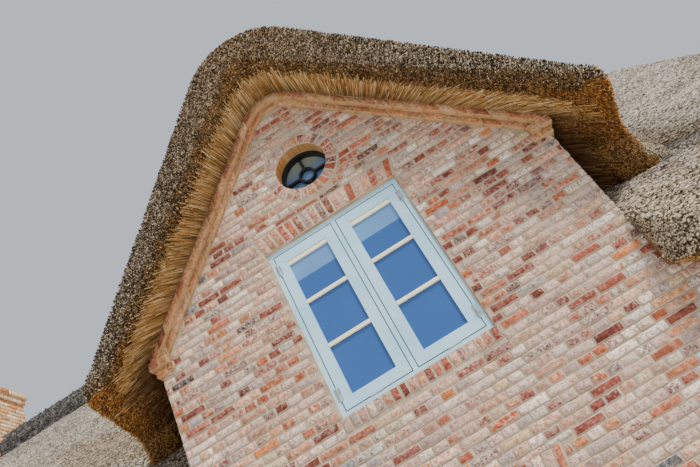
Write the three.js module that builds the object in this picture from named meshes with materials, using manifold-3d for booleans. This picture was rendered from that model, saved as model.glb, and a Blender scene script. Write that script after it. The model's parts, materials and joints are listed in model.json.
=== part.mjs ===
// Thatched brick cottage with a cross gable in its front. Millimetres, +Z up.
//
// The pieces are laid out in the house frame: X runs right from the centre line of the cross
// gable, Y runs into the house from the outer face of the front wall, and Z rises from the ground.
// The finished group is shifted so that the origin is at the bottom centre of the whole cottage.

import * as THREE from 'three';
import { mergeVertices } from 'three/addons/utils/BufferGeometryUtils.js';
import Module from 'manifold-3d';

const wasm = await Module();
wasm.setup();

// Plan of the house
const HOUSE_LEFT = -8150;
const HOUSE_RIGHT = 4050;
const HOUSE_DEPTH = 8200;
const WALL = 350;
const RIDGE_Y = HOUSE_DEPTH / 2;
const SEAT = 0.3;

// Floors
const GROUND_SLAB_TOP = 150;
const UPPER_FLOOR_BOTTOM = 2400;
const UPPER_FLOOR_TOP = 2600;

// Main roof: the underside of its thatch lies on the tops of the walls
const MAIN_ANGLE = THREE.MathUtils.degToRad(43.5);
const MAIN_SLOPE = Math.tan(MAIN_ANGLE);
const MAIN_TOP_AT_WALL = 3520;
const MAIN_SOFFIT_AT_WALL = 3039;
const MAIN_RIDGE_RADIUS = 350;
const EAVE_OUT = 420;
const EAVE_NOSE_RADIUS = 300;
const EAVE_LIP_OUT = 75;
const EAVE_DROP = 290;
const EAVE_TIP_RADIUS = 50;
const EAVE_TIP_SHARE = 1 / 3;
const EAVE_NOSE_SHARE = 0.6;
const MAIN_VERGE_OUT = 350;
const MAIN_VERGE_LEAN = 0.06;

// Cross gable: its thatch grows thicker towards the ridge. The nose is a run of corners along the
// edge of the thatch, given as shares of how far it stands out and of how high it is.
const BAY_HALF = 1800;
const BAY_VERGE_OUT = 420;
const BAY_SLOPE = Math.tan(THREE.MathUtils.degToRad(47.5));
const BAY_SOFFIT_APEX = 6575;
const BAY_SOFFIT_RADIUS = 350;
const BAY_TOP_APEX = 7400;
const BAY_TOP_SLOPE = 1.31;
const BAY_TOP_ANGLE = Math.atan(BAY_TOP_SLOPE);
const BAY_RIDGE_RADIUS = 620;
const BAY_EAVE_LIP = 1875;
const BAY_EAVE_BOTTOM = 4325;
const BAY_EAVE_FALL = 0.12;
const BAY_NOSE_HEIGHT = 90;
const BAY_BUTT_BULGE = 15;
const COVER = 5;
const LIP_SHARE = 0.92;
const COVER_SHARE = 0.85;
const NOSE_OUT = 60;
const NOSE_SHOULDER = [0.7, 0.4];
const NOSE_UNDER = [0.6, 1.2];
const SOFFIT_STEPS = 5;

// Swept valleys between the cross gable's thatch and the main slope. Where its eaves meet the
// main slope, the edge flares out and the nose grows: [half width of the thatch, nose height].
const VALLEY_BLEND = 250;
const WING_DEPTH = 130;
const WING_MIN_HALF = 320;
const EAVE_SWEEP = [
  { y: 330, left: [2345, 100], right: [2355, 200] },
  { y: 400, left: [2350, 130], right: [2400, 290] },
  { y: 460, left: [2356, 170], right: [2475, 270] },
  { y: 550, left: [2376, 220], right: [2600, 140] },
  { y: 650, left: [2430, 200], right: [2682, 130] },
  { y: 750, left: [2530, 150], right: [2610, 130] },
];
const SETTLE_START = { left: 380, right: 200 };
const SETTLE_EAVE = 280;
const SETTLE_BELLY = 360;
const SETTLE_LIP = 650;
const SOFFIT_STATIONS = [50, 250];
const VALLEY_STATIONS = [
  850, 950, 1100, 1300, 1550, 1850, 2200, 2600, 2950, 3250, 3500, 3700, 3850, 3950,
];
const SLOPE_STEPS = 18;
const SLOPE_SPREAD = 1.15;
const CORNER_SWEEP = 480;
const CORNER_OUT = 80;
const CORNER_STATIONS = [0, 0.03, 0.12, 0.28, 0.5, 0.75, 1];

// Rounded edges of the verges: [distance in from the end, inset of the weather side]
const VERGE_ROUNDING = [[0, 90], [30, 45], [80, 14], [160, 0]];

// Corbelled brick bands along the rakes and under the eaves
const COURSE = 70;
const CORBEL_STEP = 30;
const RAKE_BAND = 65;
const KNEELER_TOP = 4530;
const KNEELER_RETURN = 110;
const CORNICE_START = BAY_HALF + 60;

// Heather ridges
const RIDGE_HALF = 330;
const RIDGE_RISE = 310;
const RIDGE_SETBACK = 250;
const RIDGE_TAPER = 0.45;
const RIDGE_BED = 60;
const RIDGE_STEPS = 10;
const BAY_RIDGE_HALF = 250;
const BAY_RIDGE_RISE = 110;
const BAY_RIDGE_START = 120;

// Chimney
const STACK_LEFT = -7180;
const STACK_SIZE = 700;
const STACK_TOP = 8200;
const CAP_COURSE = 95;
const FLUE = 250;
const FLUE_BOTTOM = 1200;

// Window frames by size, and the places of the windows along their walls
const BAY_WINDOW = { width: 1240, height: 1545, sill: 3310 };
const LOW_WINDOW = { width: 1240, height: 1250, sill: 900 };
const HIGH_WINDOW = { width: 1240, height: 1250, sill: 3310 };
const FRONT_WINDOWS = { far_left: -6500, left: -3750, right: 2850 };
const BACK_WINDOWS = { left: -6300, middle: -2200, right: 1800 };
const WINDOW_SETBACK = 25;
const FRAME_WIDTH = 40;
const FRAME_DEPTH = 95;
const REBATE = 12;
const POST = 43;
const SASH_DEPTH = 56;
const SASH_GAP = 4;
const STILE = 90;
const GLASS = 6;
const GLASS_INSET = 22;
const MORTAR_JOINT = 10;

// Brickwork round the window and the round light of the cross gable
const ARCH_HEIGHT = 185;
const ARCH_SPREAD = 45;
const SILL_HEIGHT = 110;
const SILL_OVERLAP = 20;
const FACE_BRICK = 110;
const OCULUS_Z = 5490;
const OCULUS_RADIUS = 237.5;
const OCULUS_RING = 110;
const OCULUS_SETBACK = 140;
const OCULUS_DEPTH = 45;
const OCULUS_RIM = 35;
const OCULUS_HUB_RADIUS = 83;
const OCULUS_HUB_RIM = 21;
const OCULUS_SPOKE = 20;
const OCULUS_WELD = 5;
const OCULUS_SIDES = 48;
const HUB_SIDES = 32;

// Front door
const DOOR_WIDTH = 1040;
const DOOR_HEIGHT = 2110;
const DOOR_SETBACK = 110;
const DOOR_JAMB = 60;
const DOOR_FRAME_DEPTH = 110;
const DOOR_LEAF_DEPTH = 52;
const DOOR_STOP = 20;

const MATERIALS = {
  brick: { color: 0xc79a86, roughness: 0.92, metalness: 0 },
  soldier: { color: 0xc4886f, roughness: 0.92, metalness: 0 },
  thatch: { color: 0x8f8272, roughness: 0.95, metalness: 0 },
  heather: { color: 0x4a4248, roughness: 0.97, metalness: 0 },
  paint: { color: 0xb3cbd8, roughness: 0.4, metalness: 0 },
  iron: { color: 0x16181a, roughness: 0.5, metalness: 0.6 },
  glass: { color: 0x4a76b5, roughness: 0.05, metalness: 0 },
  concrete: { color: 0xa8a39b, roughness: 0.9, metalness: 0 },
  timber: { color: 0xa9855c, roughness: 0.75, metalness: 0 },
};

const cottage = new THREE.Group();
const house = new THREE.Group();
house.position.set(-(HOUSE_LEFT + HOUSE_RIGHT) / 2, -RIDGE_Y, 0);
cottage.add(house);

// Booleans

function solid(geometry) {
  const plain = geometry.clone();
  plain.deleteAttribute('normal');
  plain.deleteAttribute('uv');
  const merged = mergeVertices(plain, 1e-3);
  return new wasm.Manifold(new wasm.Mesh({
    numProp: 3,
    vertProperties: merged.attributes.position.array,
    triVerts: Uint32Array.from(merged.index.array),
  }));
}

function geometryOf(body) {
  const { vertProperties, triVerts } = body.getMesh();
  const geometry = new THREE.BufferGeometry();
  geometry.setAttribute('position', new THREE.BufferAttribute(vertProperties, 3));
  geometry.setIndex(new THREE.BufferAttribute(triVerts, 1));
  geometry.computeVertexNormals();
  return geometry;
}

const join = (...bodies) => bodies.reduce((whole, body) => whole.add(body));
const cut = (body, ...tools) => tools.reduce((whole, tool) => whole.subtract(tool), body);

function addPiece(name, body, material, parent = house) {
  const mesh = new THREE.Mesh(geometryOf(body), new THREE.MeshStandardMaterial(MATERIALS[material]));
  mesh.name = name;
  parent.add(mesh);
}

// Basic solids

function block([x0, x1], [y0, y1], [z0, z1]) {
  const geometry = new THREE.BoxGeometry(x1 - x0, y1 - y0, z1 - z0);
  geometry.translate((x0 + x1) / 2, (y0 + y1) / 2, (z0 + z1) / 2);
  return solid(geometry);
}

// A round bar along Y.
function disc(x, z, radius, [y0, y1], sides = OCULUS_SIDES) {
  const geometry = new THREE.CylinderGeometry(radius, radius, y1 - y0, sides);
  geometry.translate(x, (y0 + y1) / 2, z);
  return solid(geometry);
}

// A loft through closed outlines with equal numbers of points. Each section holds 2D points, and
// place turns a point and the section's station into a 3D position.
function loft(sections, place) {
  const count = sections[0].points.length;
  const positions = sections.flatMap(({ points, at }) => points.flatMap((p) => place(p, at).toArray()));
  const index = [];
  for (let s = 0; s < sections.length - 1; s += 1) {
    for (let i = 0; i < count; i += 1) {
      const a = s * count + i;
      const b = s * count + ((i + 1) % count);
      index.push(a, b, b + count, a, b + count, a + count);
    }
  }
  const last = (sections.length - 1) * count;
  THREE.ShapeUtils.triangulateShape(sections[0].points, []).forEach(([a, b, c]) => {
    index.push(a, c, b);
  });
  THREE.ShapeUtils.triangulateShape(sections.at(-1).points, []).forEach(([a, b, c]) => {
    index.push(last + a, last + b, last + c);
  });
  const geometry = new THREE.BufferGeometry();
  geometry.setAttribute('position', new THREE.Float32BufferAttribute(positions, 3));
  geometry.setIndex(index);
  return solid(geometry);
}

// Outlines are counterclockwise. Across the X axis their points are [y, z], with stations of
// rising x. Across the Y axis they are [x, z], with stations of rising -y.
const acrossX = (point, at) => new THREE.Vector3(at, point.x, point.y);
const acrossY = (point, at) => new THREE.Vector3(point.x, -at, point.y);
const prismX = (points, [x0, x1]) => loft([{ points, at: x0 }, { points, at: x1 }], acrossX);
const prismY = (points, [y0, y1]) => loft([{ points, at: -y1 }, { points, at: -y0 }], acrossY);

// A closed outline from corners [u, v, radius]. Every rounded corner gets the same number of
// points, so that outlines of one family can be lofted.
function outline(corners, steps = 5) {
  return corners.flatMap(([u, v, radius = 0], i) => {
    const corner = new THREE.Vector2(u, v);
    const [beforeU, beforeV] = corners.at(i - 1);
    const [afterU, afterV] = corners[(i + 1) % corners.length];
    const before = new THREE.Vector2(beforeU, beforeV).sub(corner).normalize();
    const after = new THREE.Vector2(afterU, afterV).sub(corner).normalize();
    if (radius === 0) {
      return [corner];
    }
    const half = Math.acos(before.dot(after)) / 2;
    const toCentre = before.clone().add(after).setLength(radius / Math.sin(half));
    const from = before.setLength(radius / Math.tan(half)).sub(toCentre);
    const to = after.setLength(radius / Math.tan(half)).sub(toCentre);
    const turn = Math.atan2(from.cross(to), from.dot(to));
    return Array.from({ length: steps + 1 }, (_, k) => (
      from.clone().rotateAround(new THREE.Vector2(), (turn * k) / steps).add(toCentre).add(corner)
    ));
  });
}

// Roof surfaces

const { clamp, lerp, smoothstep } = THREE.MathUtils;
const mainSoffit = (y) => MAIN_SOFFIT_AT_WALL + MAIN_SLOPE * Math.min(y, HOUSE_DEPTH - y);
const mainTop = (y) => MAIN_TOP_AT_WALL + MAIN_SLOPE * Math.min(y, HOUSE_DEPTH - y);
const baySoffit = (x) => BAY_SOFFIT_APEX - BAY_SLOPE * Math.abs(x);

// How far the front eave stands out at x. It sweeps back at the corners of the cross gable.
function eaveOut(x) {
  const past = clamp((Math.abs(x) - BAY_HALF) / CORNER_SWEEP, 0, 1);
  return CORNER_OUT + (EAVE_OUT - CORNER_OUT) * Math.sqrt(1 - (1 - past) ** 2);
}

// Section of the main thatch. The inset draws its weather side in, to round a verge.
function mainSection(frontOut, inset = 0) {
  const eave = (out) => {
    const lipOut = Math.min(EAVE_LIP_OUT, out / 2);
    const past = (out - lipOut) / (EAVE_OUT - lipOut);
    const buttBottom = MAIN_SOFFIT_AT_WALL - EAVE_DROP * (1 - (1 - past) ** 2);
    const tipRadius = Math.min(EAVE_TIP_RADIUS, (out - lipOut) * EAVE_TIP_SHARE);
    const noseRadius = Math.min(EAVE_NOSE_RADIUS, out * EAVE_NOSE_SHARE);
    return {
      lip: [-lipOut, MAIN_SOFFIT_AT_WALL],
      tip: [inset - out, buttBottom + inset / 2, tipRadius],
      nose: [inset - out, mainTop(-out) - inset / 2, noseRadius - inset],
    };
  };
  const front = eave(frontOut);
  const back = eave(EAVE_OUT);
  const toBack = ([y, z, radius]) => [HOUSE_DEPTH - y, z, radius];
  return outline([
    toBack(back.nose),
    [RIDGE_Y, mainTop(RIDGE_Y) - inset, MAIN_RIDGE_RADIUS],
    front.nose,
    front.tip,
    front.lip,
    [0, MAIN_SOFFIT_AT_WALL],
    [RIDGE_Y, mainSoffit(RIDGE_Y)],
    [HOUSE_DEPTH, MAIN_SOFFIT_AT_WALL],
    toBack(back.lip),
    toBack(back.tip),
  ]);
}

function mainShell() {
  const left = HOUSE_LEFT - MAIN_VERGE_OUT;
  const right = HOUSE_RIGHT + MAIN_VERGE_OUT;
  const sweeps = CORNER_STATIONS.map((part) => BAY_HALF + part * CORNER_SWEEP);
  const stations = [
    ...VERGE_ROUNDING.map(([inward, inset]) => [left + inward, inset]),
    ...sweeps.map((x) => [-x, 0]).reverse(),
    ...sweeps.map((x) => [x, 0]),
    ...VERGE_ROUNDING.map(([inward, inset]) => [right - inward, inset]).reverse(),
  ];
  const sections = stations.map(([x, inset]) => ({ points: mainSection(eaveOut(x), inset), at: x }));
  return loft(sections, (point, at) => {
    const lean = at < HOUSE_LEFT || at > HOUSE_RIGHT ? Math.sign(at) * MAIN_VERGE_LEAN : 0;
    return acrossX(point, at + lean * Math.abs(point.x - RIDGE_Y));
  });
}

// The curve of the main thatch over its ridge, and of the cross gable's thatch over its own
function mainCurve(y) {
  const across = Math.abs(RIDGE_Y - y);
  const centre = mainTop(RIDGE_Y) - MAIN_RIDGE_RADIUS / Math.cos(MAIN_ANGLE);
  return across < MAIN_RIDGE_RADIUS * Math.sin(MAIN_ANGLE)
    ? centre + Math.sqrt(MAIN_RIDGE_RADIUS ** 2 - across ** 2)
    : mainTop(y);
}

function bayCurve(x) {
  const centre = BAY_TOP_APEX - BAY_RIDGE_RADIUS / Math.cos(BAY_TOP_ANGLE);
  return Math.abs(x) < BAY_RIDGE_RADIUS * Math.sin(BAY_TOP_ANGLE)
    ? centre + Math.sqrt(BAY_RIDGE_RADIUS ** 2 - x ** 2)
    : BAY_TOP_APEX - BAY_TOP_SLOPE * Math.abs(x);
}

// Height of the cross gable's thatch, joined to the main slope by a swept valley
function bayWeather(x, y) {
  const free = bayCurve(x);
  const level = mainCurve(y);
  const share = clamp(0.5 + (free - level) / (2 * VALLEY_BLEND), 0, 1);
  return lerp(level, free, share) + VALLEY_BLEND * share * (1 - share);
}

// Half width of the cross gable's thatch at y, and the height of the nose along its edge
function bayEdge(y, side, bottom) {
  const swept = EAVE_SWEEP.find((station) => station.y === y);
  if (swept) {
    return swept[side];
  }
  if (y < EAVE_SWEEP[0].y) {
    return [(BAY_TOP_APEX - bottom - BAY_NOSE_HEIGHT) / BAY_TOP_SLOPE, BAY_NOSE_HEIGHT];
  }
  const valley = (BAY_TOP_APEX - mainCurve(y) + VALLEY_BLEND) / BAY_TOP_SLOPE;
  return [Math.max(valley, WING_MIN_HALF), WING_DEPTH];
}

// One half of the section of the cross gable's thatch, from its crown round to its soffit. In
// front, the eaves end free in a nose over the butt ends of the reed. From there the underside
// settles on the main slope, and further back the thatch lies in that slope.
function bayHalf(y, side, inset) {
  const buried = mainCurve(y) - WING_DEPTH;
  const settle = (height, length) => {
    const start = SETTLE_START[side];
    return lerp(height, buried, smoothstep(y, start, start + length));
  };
  const bottom = BAY_EAVE_BOTTOM - BAY_EAVE_FALL * (y + BAY_VERGE_OUT);
  const [edge, noseHeight] = bayEdge(y, side, bottom);
  const endX = edge - NOSE_OUT - inset;
  const weather = Array.from({ length: SLOPE_STEPS + 1 }, (_, k) => {
    const x = endX * (k / SLOPE_STEPS) ** SLOPE_SPREAD;
    return [x, bayWeather(x, y) - inset];
  });
  const endZ = weather.at(-1)[1];
  const noseCorner = ([out, down]) => [endX + NOSE_OUT * out, endZ - noseHeight * down];
  const [underX, underZ] = noseCorner(NOSE_UNDER);
  const eaveZ = Math.min(settle(bottom, SETTLE_EAVE), underZ);
  const lipX = Math.min(BAY_EAVE_LIP, endX * LIP_SHARE);
  const coverX = Math.min(BAY_HALF + COVER, endX * COVER_SHARE);
  const lipZ = Math.min(baySoffit(lipX), settle(baySoffit(lipX), SETTLE_LIP));
  const bellyZ = Math.min((eaveZ + lipZ) / 2 - BAY_BUTT_BULGE, settle(bottom, SETTLE_BELLY));
  const under = [
    [underX, eaveZ],
    [(endX + lipX) / 2, bellyZ],
    [lipX, lipZ],
    [coverX, baySoffit(coverX)],
  ];
  const angle = Math.atan(BAY_SLOPE);
  const centre = BAY_SOFFIT_APEX - BAY_SOFFIT_RADIUS / Math.cos(angle);
  const soffit = Array.from({ length: SOFFIT_STEPS + 1 }, (_, k) => {
    const turned = angle * (1 - k / SOFFIT_STEPS);
    return [BAY_SOFFIT_RADIUS * Math.sin(turned), centre + BAY_SOFFIT_RADIUS * Math.cos(turned)];
  });
  return [...weather, noseCorner(NOSE_SHOULDER), noseCorner([1, 1]), ...under, ...soffit];
}

// A closed outline with every corner moved outwards by grow, along the mean of its two normals
function widened(points, grow) {
  return points.map((point, i) => {
    const before = point.clone().sub(points.at(i - 1)).normalize();
    const after = points[(i + 1) % points.length].clone().sub(point).normalize();
    const along = before.add(after).normalize();
    return new THREE.Vector2(along.y, -along.x).multiplyScalar(grow).add(point);
  });
}

function baySection(y, inset, grow) {
  const right = bayHalf(y, 'right', inset).reverse();
  const left = bayHalf(y, 'left', inset).slice(1, -1).map(([x, z]) => [-x, z]);
  return widened([...left, ...right].map(([x, z]) => new THREE.Vector2(x, z)), grow);
}

function bayShell(grow = 0) {
  const front = VERGE_ROUNDING.map(([inward, inset]) => [inward - BAY_VERGE_OUT - grow, inset]);
  const back = VALLEY_STATIONS.at(-1) + grow;
  const swept = EAVE_SWEEP.map(({ y }) => y);
  const plain = [...SOFFIT_STATIONS, ...swept, ...VALLEY_STATIONS.slice(0, -1), back];
  const stations = [...front, ...plain.map((y) => [y, 0])].reverse();
  return loft(stations.map(([y, inset]) => ({ points: baySection(y, inset, grow), at: -y })), acrossY);
}

// The space under the main thatch, and the room under the thatch of the cross gable
function mainAttic(drop) {
  return prismX([
    new THREE.Vector2(-EAVE_OUT * 2, -1),
    new THREE.Vector2(HOUSE_DEPTH + EAVE_OUT * 2, -1),
    new THREE.Vector2(HOUSE_DEPTH + EAVE_OUT * 2, mainSoffit(-EAVE_OUT * 2) - drop),
    new THREE.Vector2(RIDGE_Y, mainSoffit(RIDGE_Y) - drop),
    new THREE.Vector2(-EAVE_OUT * 2, mainSoffit(-EAVE_OUT * 2) - drop),
  ], [HOUSE_LEFT - 4 * MAIN_VERGE_OUT, HOUSE_RIGHT + 4 * MAIN_VERGE_OUT]);
}

function bayRoom(half, drop, [y0, y1]) {
  return prismY(outline([
    [-half, -1],
    [half, -1],
    [half, baySoffit(half) - drop],
    [0, BAY_SOFFIT_APEX - drop, BAY_SOFFIT_RADIUS],
    [-half, baySoffit(half) - drop],
  ]), [y0, y1]);
}

// Windows and doors stand in a frame of their own, with x across, y inwards and z up from the
// bottom of the frame. Each is placed on its wall by a group.

const ring = (width, height, border, depth) => cut(
  block([-width / 2, width / 2], depth, [0, height]),
  block([border - width / 2, width / 2 - border], [depth[0] - 1, depth[1] + 1], [border, height - border]),
);

function windowFrame({ width, height }) {
  const front = WINDOW_SETBACK;
  const stop = front + SASH_DEPTH + SEAT;
  const back = front + FRAME_DEPTH;
  const inner = [FRAME_WIDTH, height - FRAME_WIDTH];
  return join(
    ring(width, height, FRAME_WIDTH, [front, back]),
    ring(width, height, FRAME_WIDTH + REBATE, [stop, back]),
    block([-POST / 2, POST / 2], [front, back], inner),
    block([-POST / 2 - REBATE, POST / 2 + REBATE], [stop, back], inner),
  );
}

function lightWidth({ width }) {
  return (width - POST) / 2 - FRAME_WIDTH;
}

function casement(size, side) {
  const middle = side * (POST + lightWidth(size)) / 2;
  const width = lightWidth(size) - 2 * SASH_GAP;
  const height = size.height - 2 * (FRAME_WIDTH + SASH_GAP);
  const sash = ring(width, height, STILE, [WINDOW_SETBACK, WINDOW_SETBACK + SASH_DEPTH]);
  return sash.translate([middle, 0, FRAME_WIDTH + SASH_GAP]);
}

function pane(size, side) {
  const middle = side * (POST + lightWidth(size)) / 2;
  const half = lightWidth(size) / 2 - SASH_GAP - STILE - SEAT;
  const edge = FRAME_WIDTH + SASH_GAP + STILE + SEAT;
  const front = WINDOW_SETBACK + GLASS_INSET;
  return block([middle - half, middle + half], [front, front + GLASS], [edge, size.height - edge]);
}

// A plainer window: frame, post and both sashes are one piece, and one sheet of glass lies
// behind the sashes.
function fixedWindow(size) {
  const lights = [-1, 1].map((side) => {
    const middle = side * (POST + lightWidth(size)) / 2;
    const half = lightWidth(size) / 2 - SASH_GAP - STILE;
    const edge = FRAME_WIDTH + SASH_GAP + STILE;
    return block([middle - half, middle + half], [0, 2 * FRAME_DEPTH], [edge, size.height - edge]);
  });
  const front = WINDOW_SETBACK;
  const sashes = cut(
    block([-size.width / 2, size.width / 2], [front, front + SASH_DEPTH], [0, size.height]),
    ...lights,
  );
  return join(ring(size.width, size.height, FRAME_WIDTH, [front, front + FRAME_DEPTH]), sashes);
}

function fixedGlass(size) {
  const half = size.width / 2 - FRAME_WIDTH - SEAT;
  const front = WINDOW_SETBACK + SASH_DEPTH + SEAT;
  const edge = FRAME_WIDTH + SEAT;
  return block([-half, half], [front, front + GLASS], [edge, size.height - edge]);
}

function windowHole({ width, height }) {
  const half = width / 2 + MORTAR_JOINT;
  return block([-half, half], [-WALL, 2 * WALL], [-SEAT, height + MORTAR_JOINT]);
}

function placeAt(x, y, z, turn = 0) {
  const group = new THREE.Group();
  group.position.set(x, y, z);
  group.rotation.z = turn;
  house.add(group);
  return group;
}

// Walls

const lowHole = (x, y) => windowHole(LOW_WINDOW).translate([x, y, LOW_WINDOW.sill]);
const doorHole = block(
  [-DOOR_WIDTH / 2 - SEAT, DOOR_WIDTH / 2 + SEAT],
  [-WALL, 2 * WALL],
  [GROUND_SLAB_TOP - SEAT, GROUND_SLAB_TOP + DOOR_HEIGHT + SEAT],
);

function archWedge(grow) {
  const bottom = BAY_WINDOW.sill + BAY_WINDOW.height + MORTAR_JOINT;
  const half = BAY_WINDOW.width / 2 + MORTAR_JOINT + grow;
  return prismY([
    new THREE.Vector2(-half, bottom - grow),
    new THREE.Vector2(half, bottom - grow),
    new THREE.Vector2(half + ARCH_SPREAD, bottom + ARCH_HEIGHT + grow),
    new THREE.Vector2(-half - ARCH_SPREAD, bottom + ARCH_HEIGHT + grow),
  ], [-grow, FACE_BRICK + grow]);
}

function sillCourse(grow) {
  const half = BAY_WINDOW.width / 2 + SILL_OVERLAP + grow;
  const top = BAY_WINDOW.sill - SEAT + grow;
  return block([-half, half], [-grow, FACE_BRICK + grow], [top - SILL_HEIGHT - grow, top]);
}

function oculusRing() {
  return cut(
    disc(0, OCULUS_Z, OCULUS_RADIUS + OCULUS_RING, [0, FACE_BRICK]),
    disc(0, OCULUS_Z, OCULUS_RADIUS, [-WALL, WALL]),
  );
}

function frontWall() {
  const slab = block([HOUSE_LEFT, HOUSE_RIGHT], [0, WALL], [0, BAY_SOFFIT_APEX]);
  const under = join(mainAttic(SEAT), bayRoom(BAY_HALF, SEAT, [-WALL, WALL * 2]));
  return cut(
    slab.intersect(under),
    doorHole,
    ...Object.values(FRONT_WINDOWS).map((x) => lowHole(x, 0)),
    windowHole(BAY_WINDOW).translate([0, 0, BAY_WINDOW.sill]),
    archWedge(SEAT),
    sillCourse(SEAT),
    disc(0, OCULUS_Z, OCULUS_RADIUS, [-WALL, 2 * WALL]),
    disc(0, OCULUS_Z, OCULUS_RADIUS + OCULUS_RING + SEAT, [-WALL, FACE_BRICK + SEAT]),
  );
}

function backWall() {
  const slab = block([HOUSE_LEFT, HOUSE_RIGHT], [HOUSE_DEPTH - WALL, HOUSE_DEPTH], [0, MAIN_TOP_AT_WALL]);
  const holes = Object.values(BACK_WINDOWS).map((x) => lowHole(x, HOUSE_DEPTH - WALL));
  return cut(slab.intersect(mainAttic(SEAT)), ...holes);
}

function gableWall([x0, x1]) {
  const slab = block([x0, x1], [WALL, HOUSE_DEPTH - WALL], [0, mainSoffit(RIDGE_Y)]);
  const hole = windowHole(HIGH_WINDOW).rotate([0, 0, 90]).translate([x0, RIDGE_Y, HIGH_WINDOW.sill]);
  return cut(slab.intersect(mainAttic(SEAT)), hole);
}

function cheek([x0, x1]) {
  const back = BAY_HALF;
  const wall = block([x0, x1], [WALL, back], [UPPER_FLOOR_TOP, BAY_SOFFIT_APEX]);
  return wall.intersect(bayRoom(BAY_HALF, SEAT, [0, 2 * back]));
}

addPiece('front_wall', frontWall(), 'brick');
addPiece('back_wall', backWall(), 'brick');
addPiece('left_gable_wall', gableWall([HOUSE_LEFT, HOUSE_LEFT + WALL]), 'brick');
addPiece('right_gable_wall', gableWall([HOUSE_RIGHT - WALL, HOUSE_RIGHT]), 'brick');
addPiece('left_cheek', cheek([-BAY_HALF, WALL - BAY_HALF]), 'brick');
addPiece('right_cheek', cheek([BAY_HALF - WALL, BAY_HALF]), 'brick');
addPiece('window_arch', archWedge(0), 'soldier');
addPiece('window_sill', sillCourse(0), 'soldier');
addPiece('round_light_ring', oculusRing(), 'soldier');

// Corbelled bands

function rakeStrip(apex, slope, radius, half, [near, far], depth) {
  const rise = Math.hypot(1, slope);
  const edge = (offset) => [
    [half, apex - offset * rise - slope * half],
    [0, apex - offset * rise, Math.max(radius - offset, 0)],
    [-half, apex - offset * rise - slope * half],
  ];
  const [outer, inner] = [edge(near), edge(far)];
  return prismY(outline([...outer, ...inner.reverse()]), depth);
}

// Two bands of brick along the rakes of a gable, the upper one standing further out
function rakeBands(apex, slope, radius, half) {
  return join(
    rakeStrip(apex, slope, radius, half, [SEAT, 2 * RAKE_BAND], [-CORBEL_STEP, 0]),
    rakeStrip(apex, slope, radius, half, [SEAT, RAKE_BAND], [-2 * CORBEL_STEP, -CORBEL_STEP / 2]),
  );
}

function bayCorbel() {
  const rakes = cut(
    rakeBands(BAY_SOFFIT_APEX, BAY_SLOPE, BAY_SOFFIT_RADIUS, BAY_HALF + CORBEL_STEP),
    block([-2 * BAY_HALF, 2 * BAY_HALF], [-WALL, WALL], [0, KNEELER_TOP - COURSE / 2]),
  );
  const kneelers = [-1, 1].flatMap((side) => [1, 2].map((step) => {
    const outer = side * (BAY_HALF + step * CORBEL_STEP);
    const inner = side * (BAY_HALF - KNEELER_RETURN);
    const top = KNEELER_TOP - (2 - step) * COURSE;
    const whole = block(
      [Math.min(outer, inner), Math.max(outer, inner)],
      [-step * CORBEL_STEP, KNEELER_RETURN],
      [top - COURSE, top],
    );
    return cut(whole, block([-BAY_HALF, BAY_HALF], [0, WALL], [0, BAY_SOFFIT_APEX]));
  }));
  return join(rakes, ...kneelers);
}

function cornice([x0, x1]) {
  return join(...[1, 2].map((step) => {
    const top = MAIN_SOFFIT_AT_WALL - SEAT - (2 - step) * COURSE;
    return block([x0, x1], [-step * CORBEL_STEP, 0], [top - COURSE, top]);
  }));
}

addPiece('cross_gable_corbel', bayCorbel(), 'brick');
addPiece('front_left_cornice', cornice([HOUSE_LEFT, -CORNICE_START]), 'brick');
addPiece('front_right_cornice', cornice([CORNICE_START, HOUSE_RIGHT]), 'brick');
const atBack = placeAt(0, HOUSE_DEPTH + SEAT, 0, Math.PI);
addPiece('back_cornice', cornice([-HOUSE_RIGHT, -HOUSE_LEFT]), 'brick', atBack);
const gableBands = () => rakeBands(mainSoffit(RIDGE_Y), MAIN_SLOPE, 0, RIDGE_Y);
const atLeft = placeAt(HOUSE_LEFT - SEAT, RIDGE_Y, 0, -Math.PI / 2);
addPiece('left_gable_corbel', gableBands(), 'brick', atLeft);
const atRight = placeAt(HOUSE_RIGHT + SEAT, RIDGE_Y, 0, Math.PI / 2);
addPiece('right_gable_corbel', gableBands(), 'brick', atRight);

// Floors and chimney

const stackY = [RIDGE_Y - STACK_SIZE / 2, RIDGE_Y + STACK_SIZE / 2];
const stackX = [STACK_LEFT, STACK_LEFT + STACK_SIZE];
const widen = ([low, high], by) => [low - by, high + by];

function floorSlab(z) {
  return block(
    [HOUSE_LEFT + WALL + SEAT, HOUSE_RIGHT - WALL - SEAT],
    [WALL + SEAT, HOUSE_DEPTH - WALL - SEAT],
    z,
  );
}

const stackShaft = (z) => block(widen(stackX, SEAT), widen(stackY, SEAT), z);
addPiece('ground_floor', floorSlab([0, GROUND_SLAB_TOP]), 'concrete');
addPiece(
  'upper_floor',
  cut(floorSlab([UPPER_FLOOR_BOTTOM, UPPER_FLOOR_TOP - SEAT]), stackShaft([0, STACK_TOP])),
  'timber',
);

const flue = block(widen(stackX, -(STACK_SIZE - FLUE) / 2), widen(stackY, -(STACK_SIZE - FLUE) / 2),
  [FLUE_BOTTOM, 2 * STACK_TOP]);
addPiece('chimney_stack', cut(block(stackX, stackY, [GROUND_SLAB_TOP, STACK_TOP]), flue), 'brick');
addPiece('chimney_cap', cut(join(...[1, 2].map((step) => block(
  widen(stackX, step * CORBEL_STEP),
  widen(stackY, step * CORBEL_STEP),
  [STACK_TOP + (step - 1) * CAP_COURSE, STACK_TOP + step * CAP_COURSE],
))), flue), 'brick');

// Thatch and heather ridges

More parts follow.
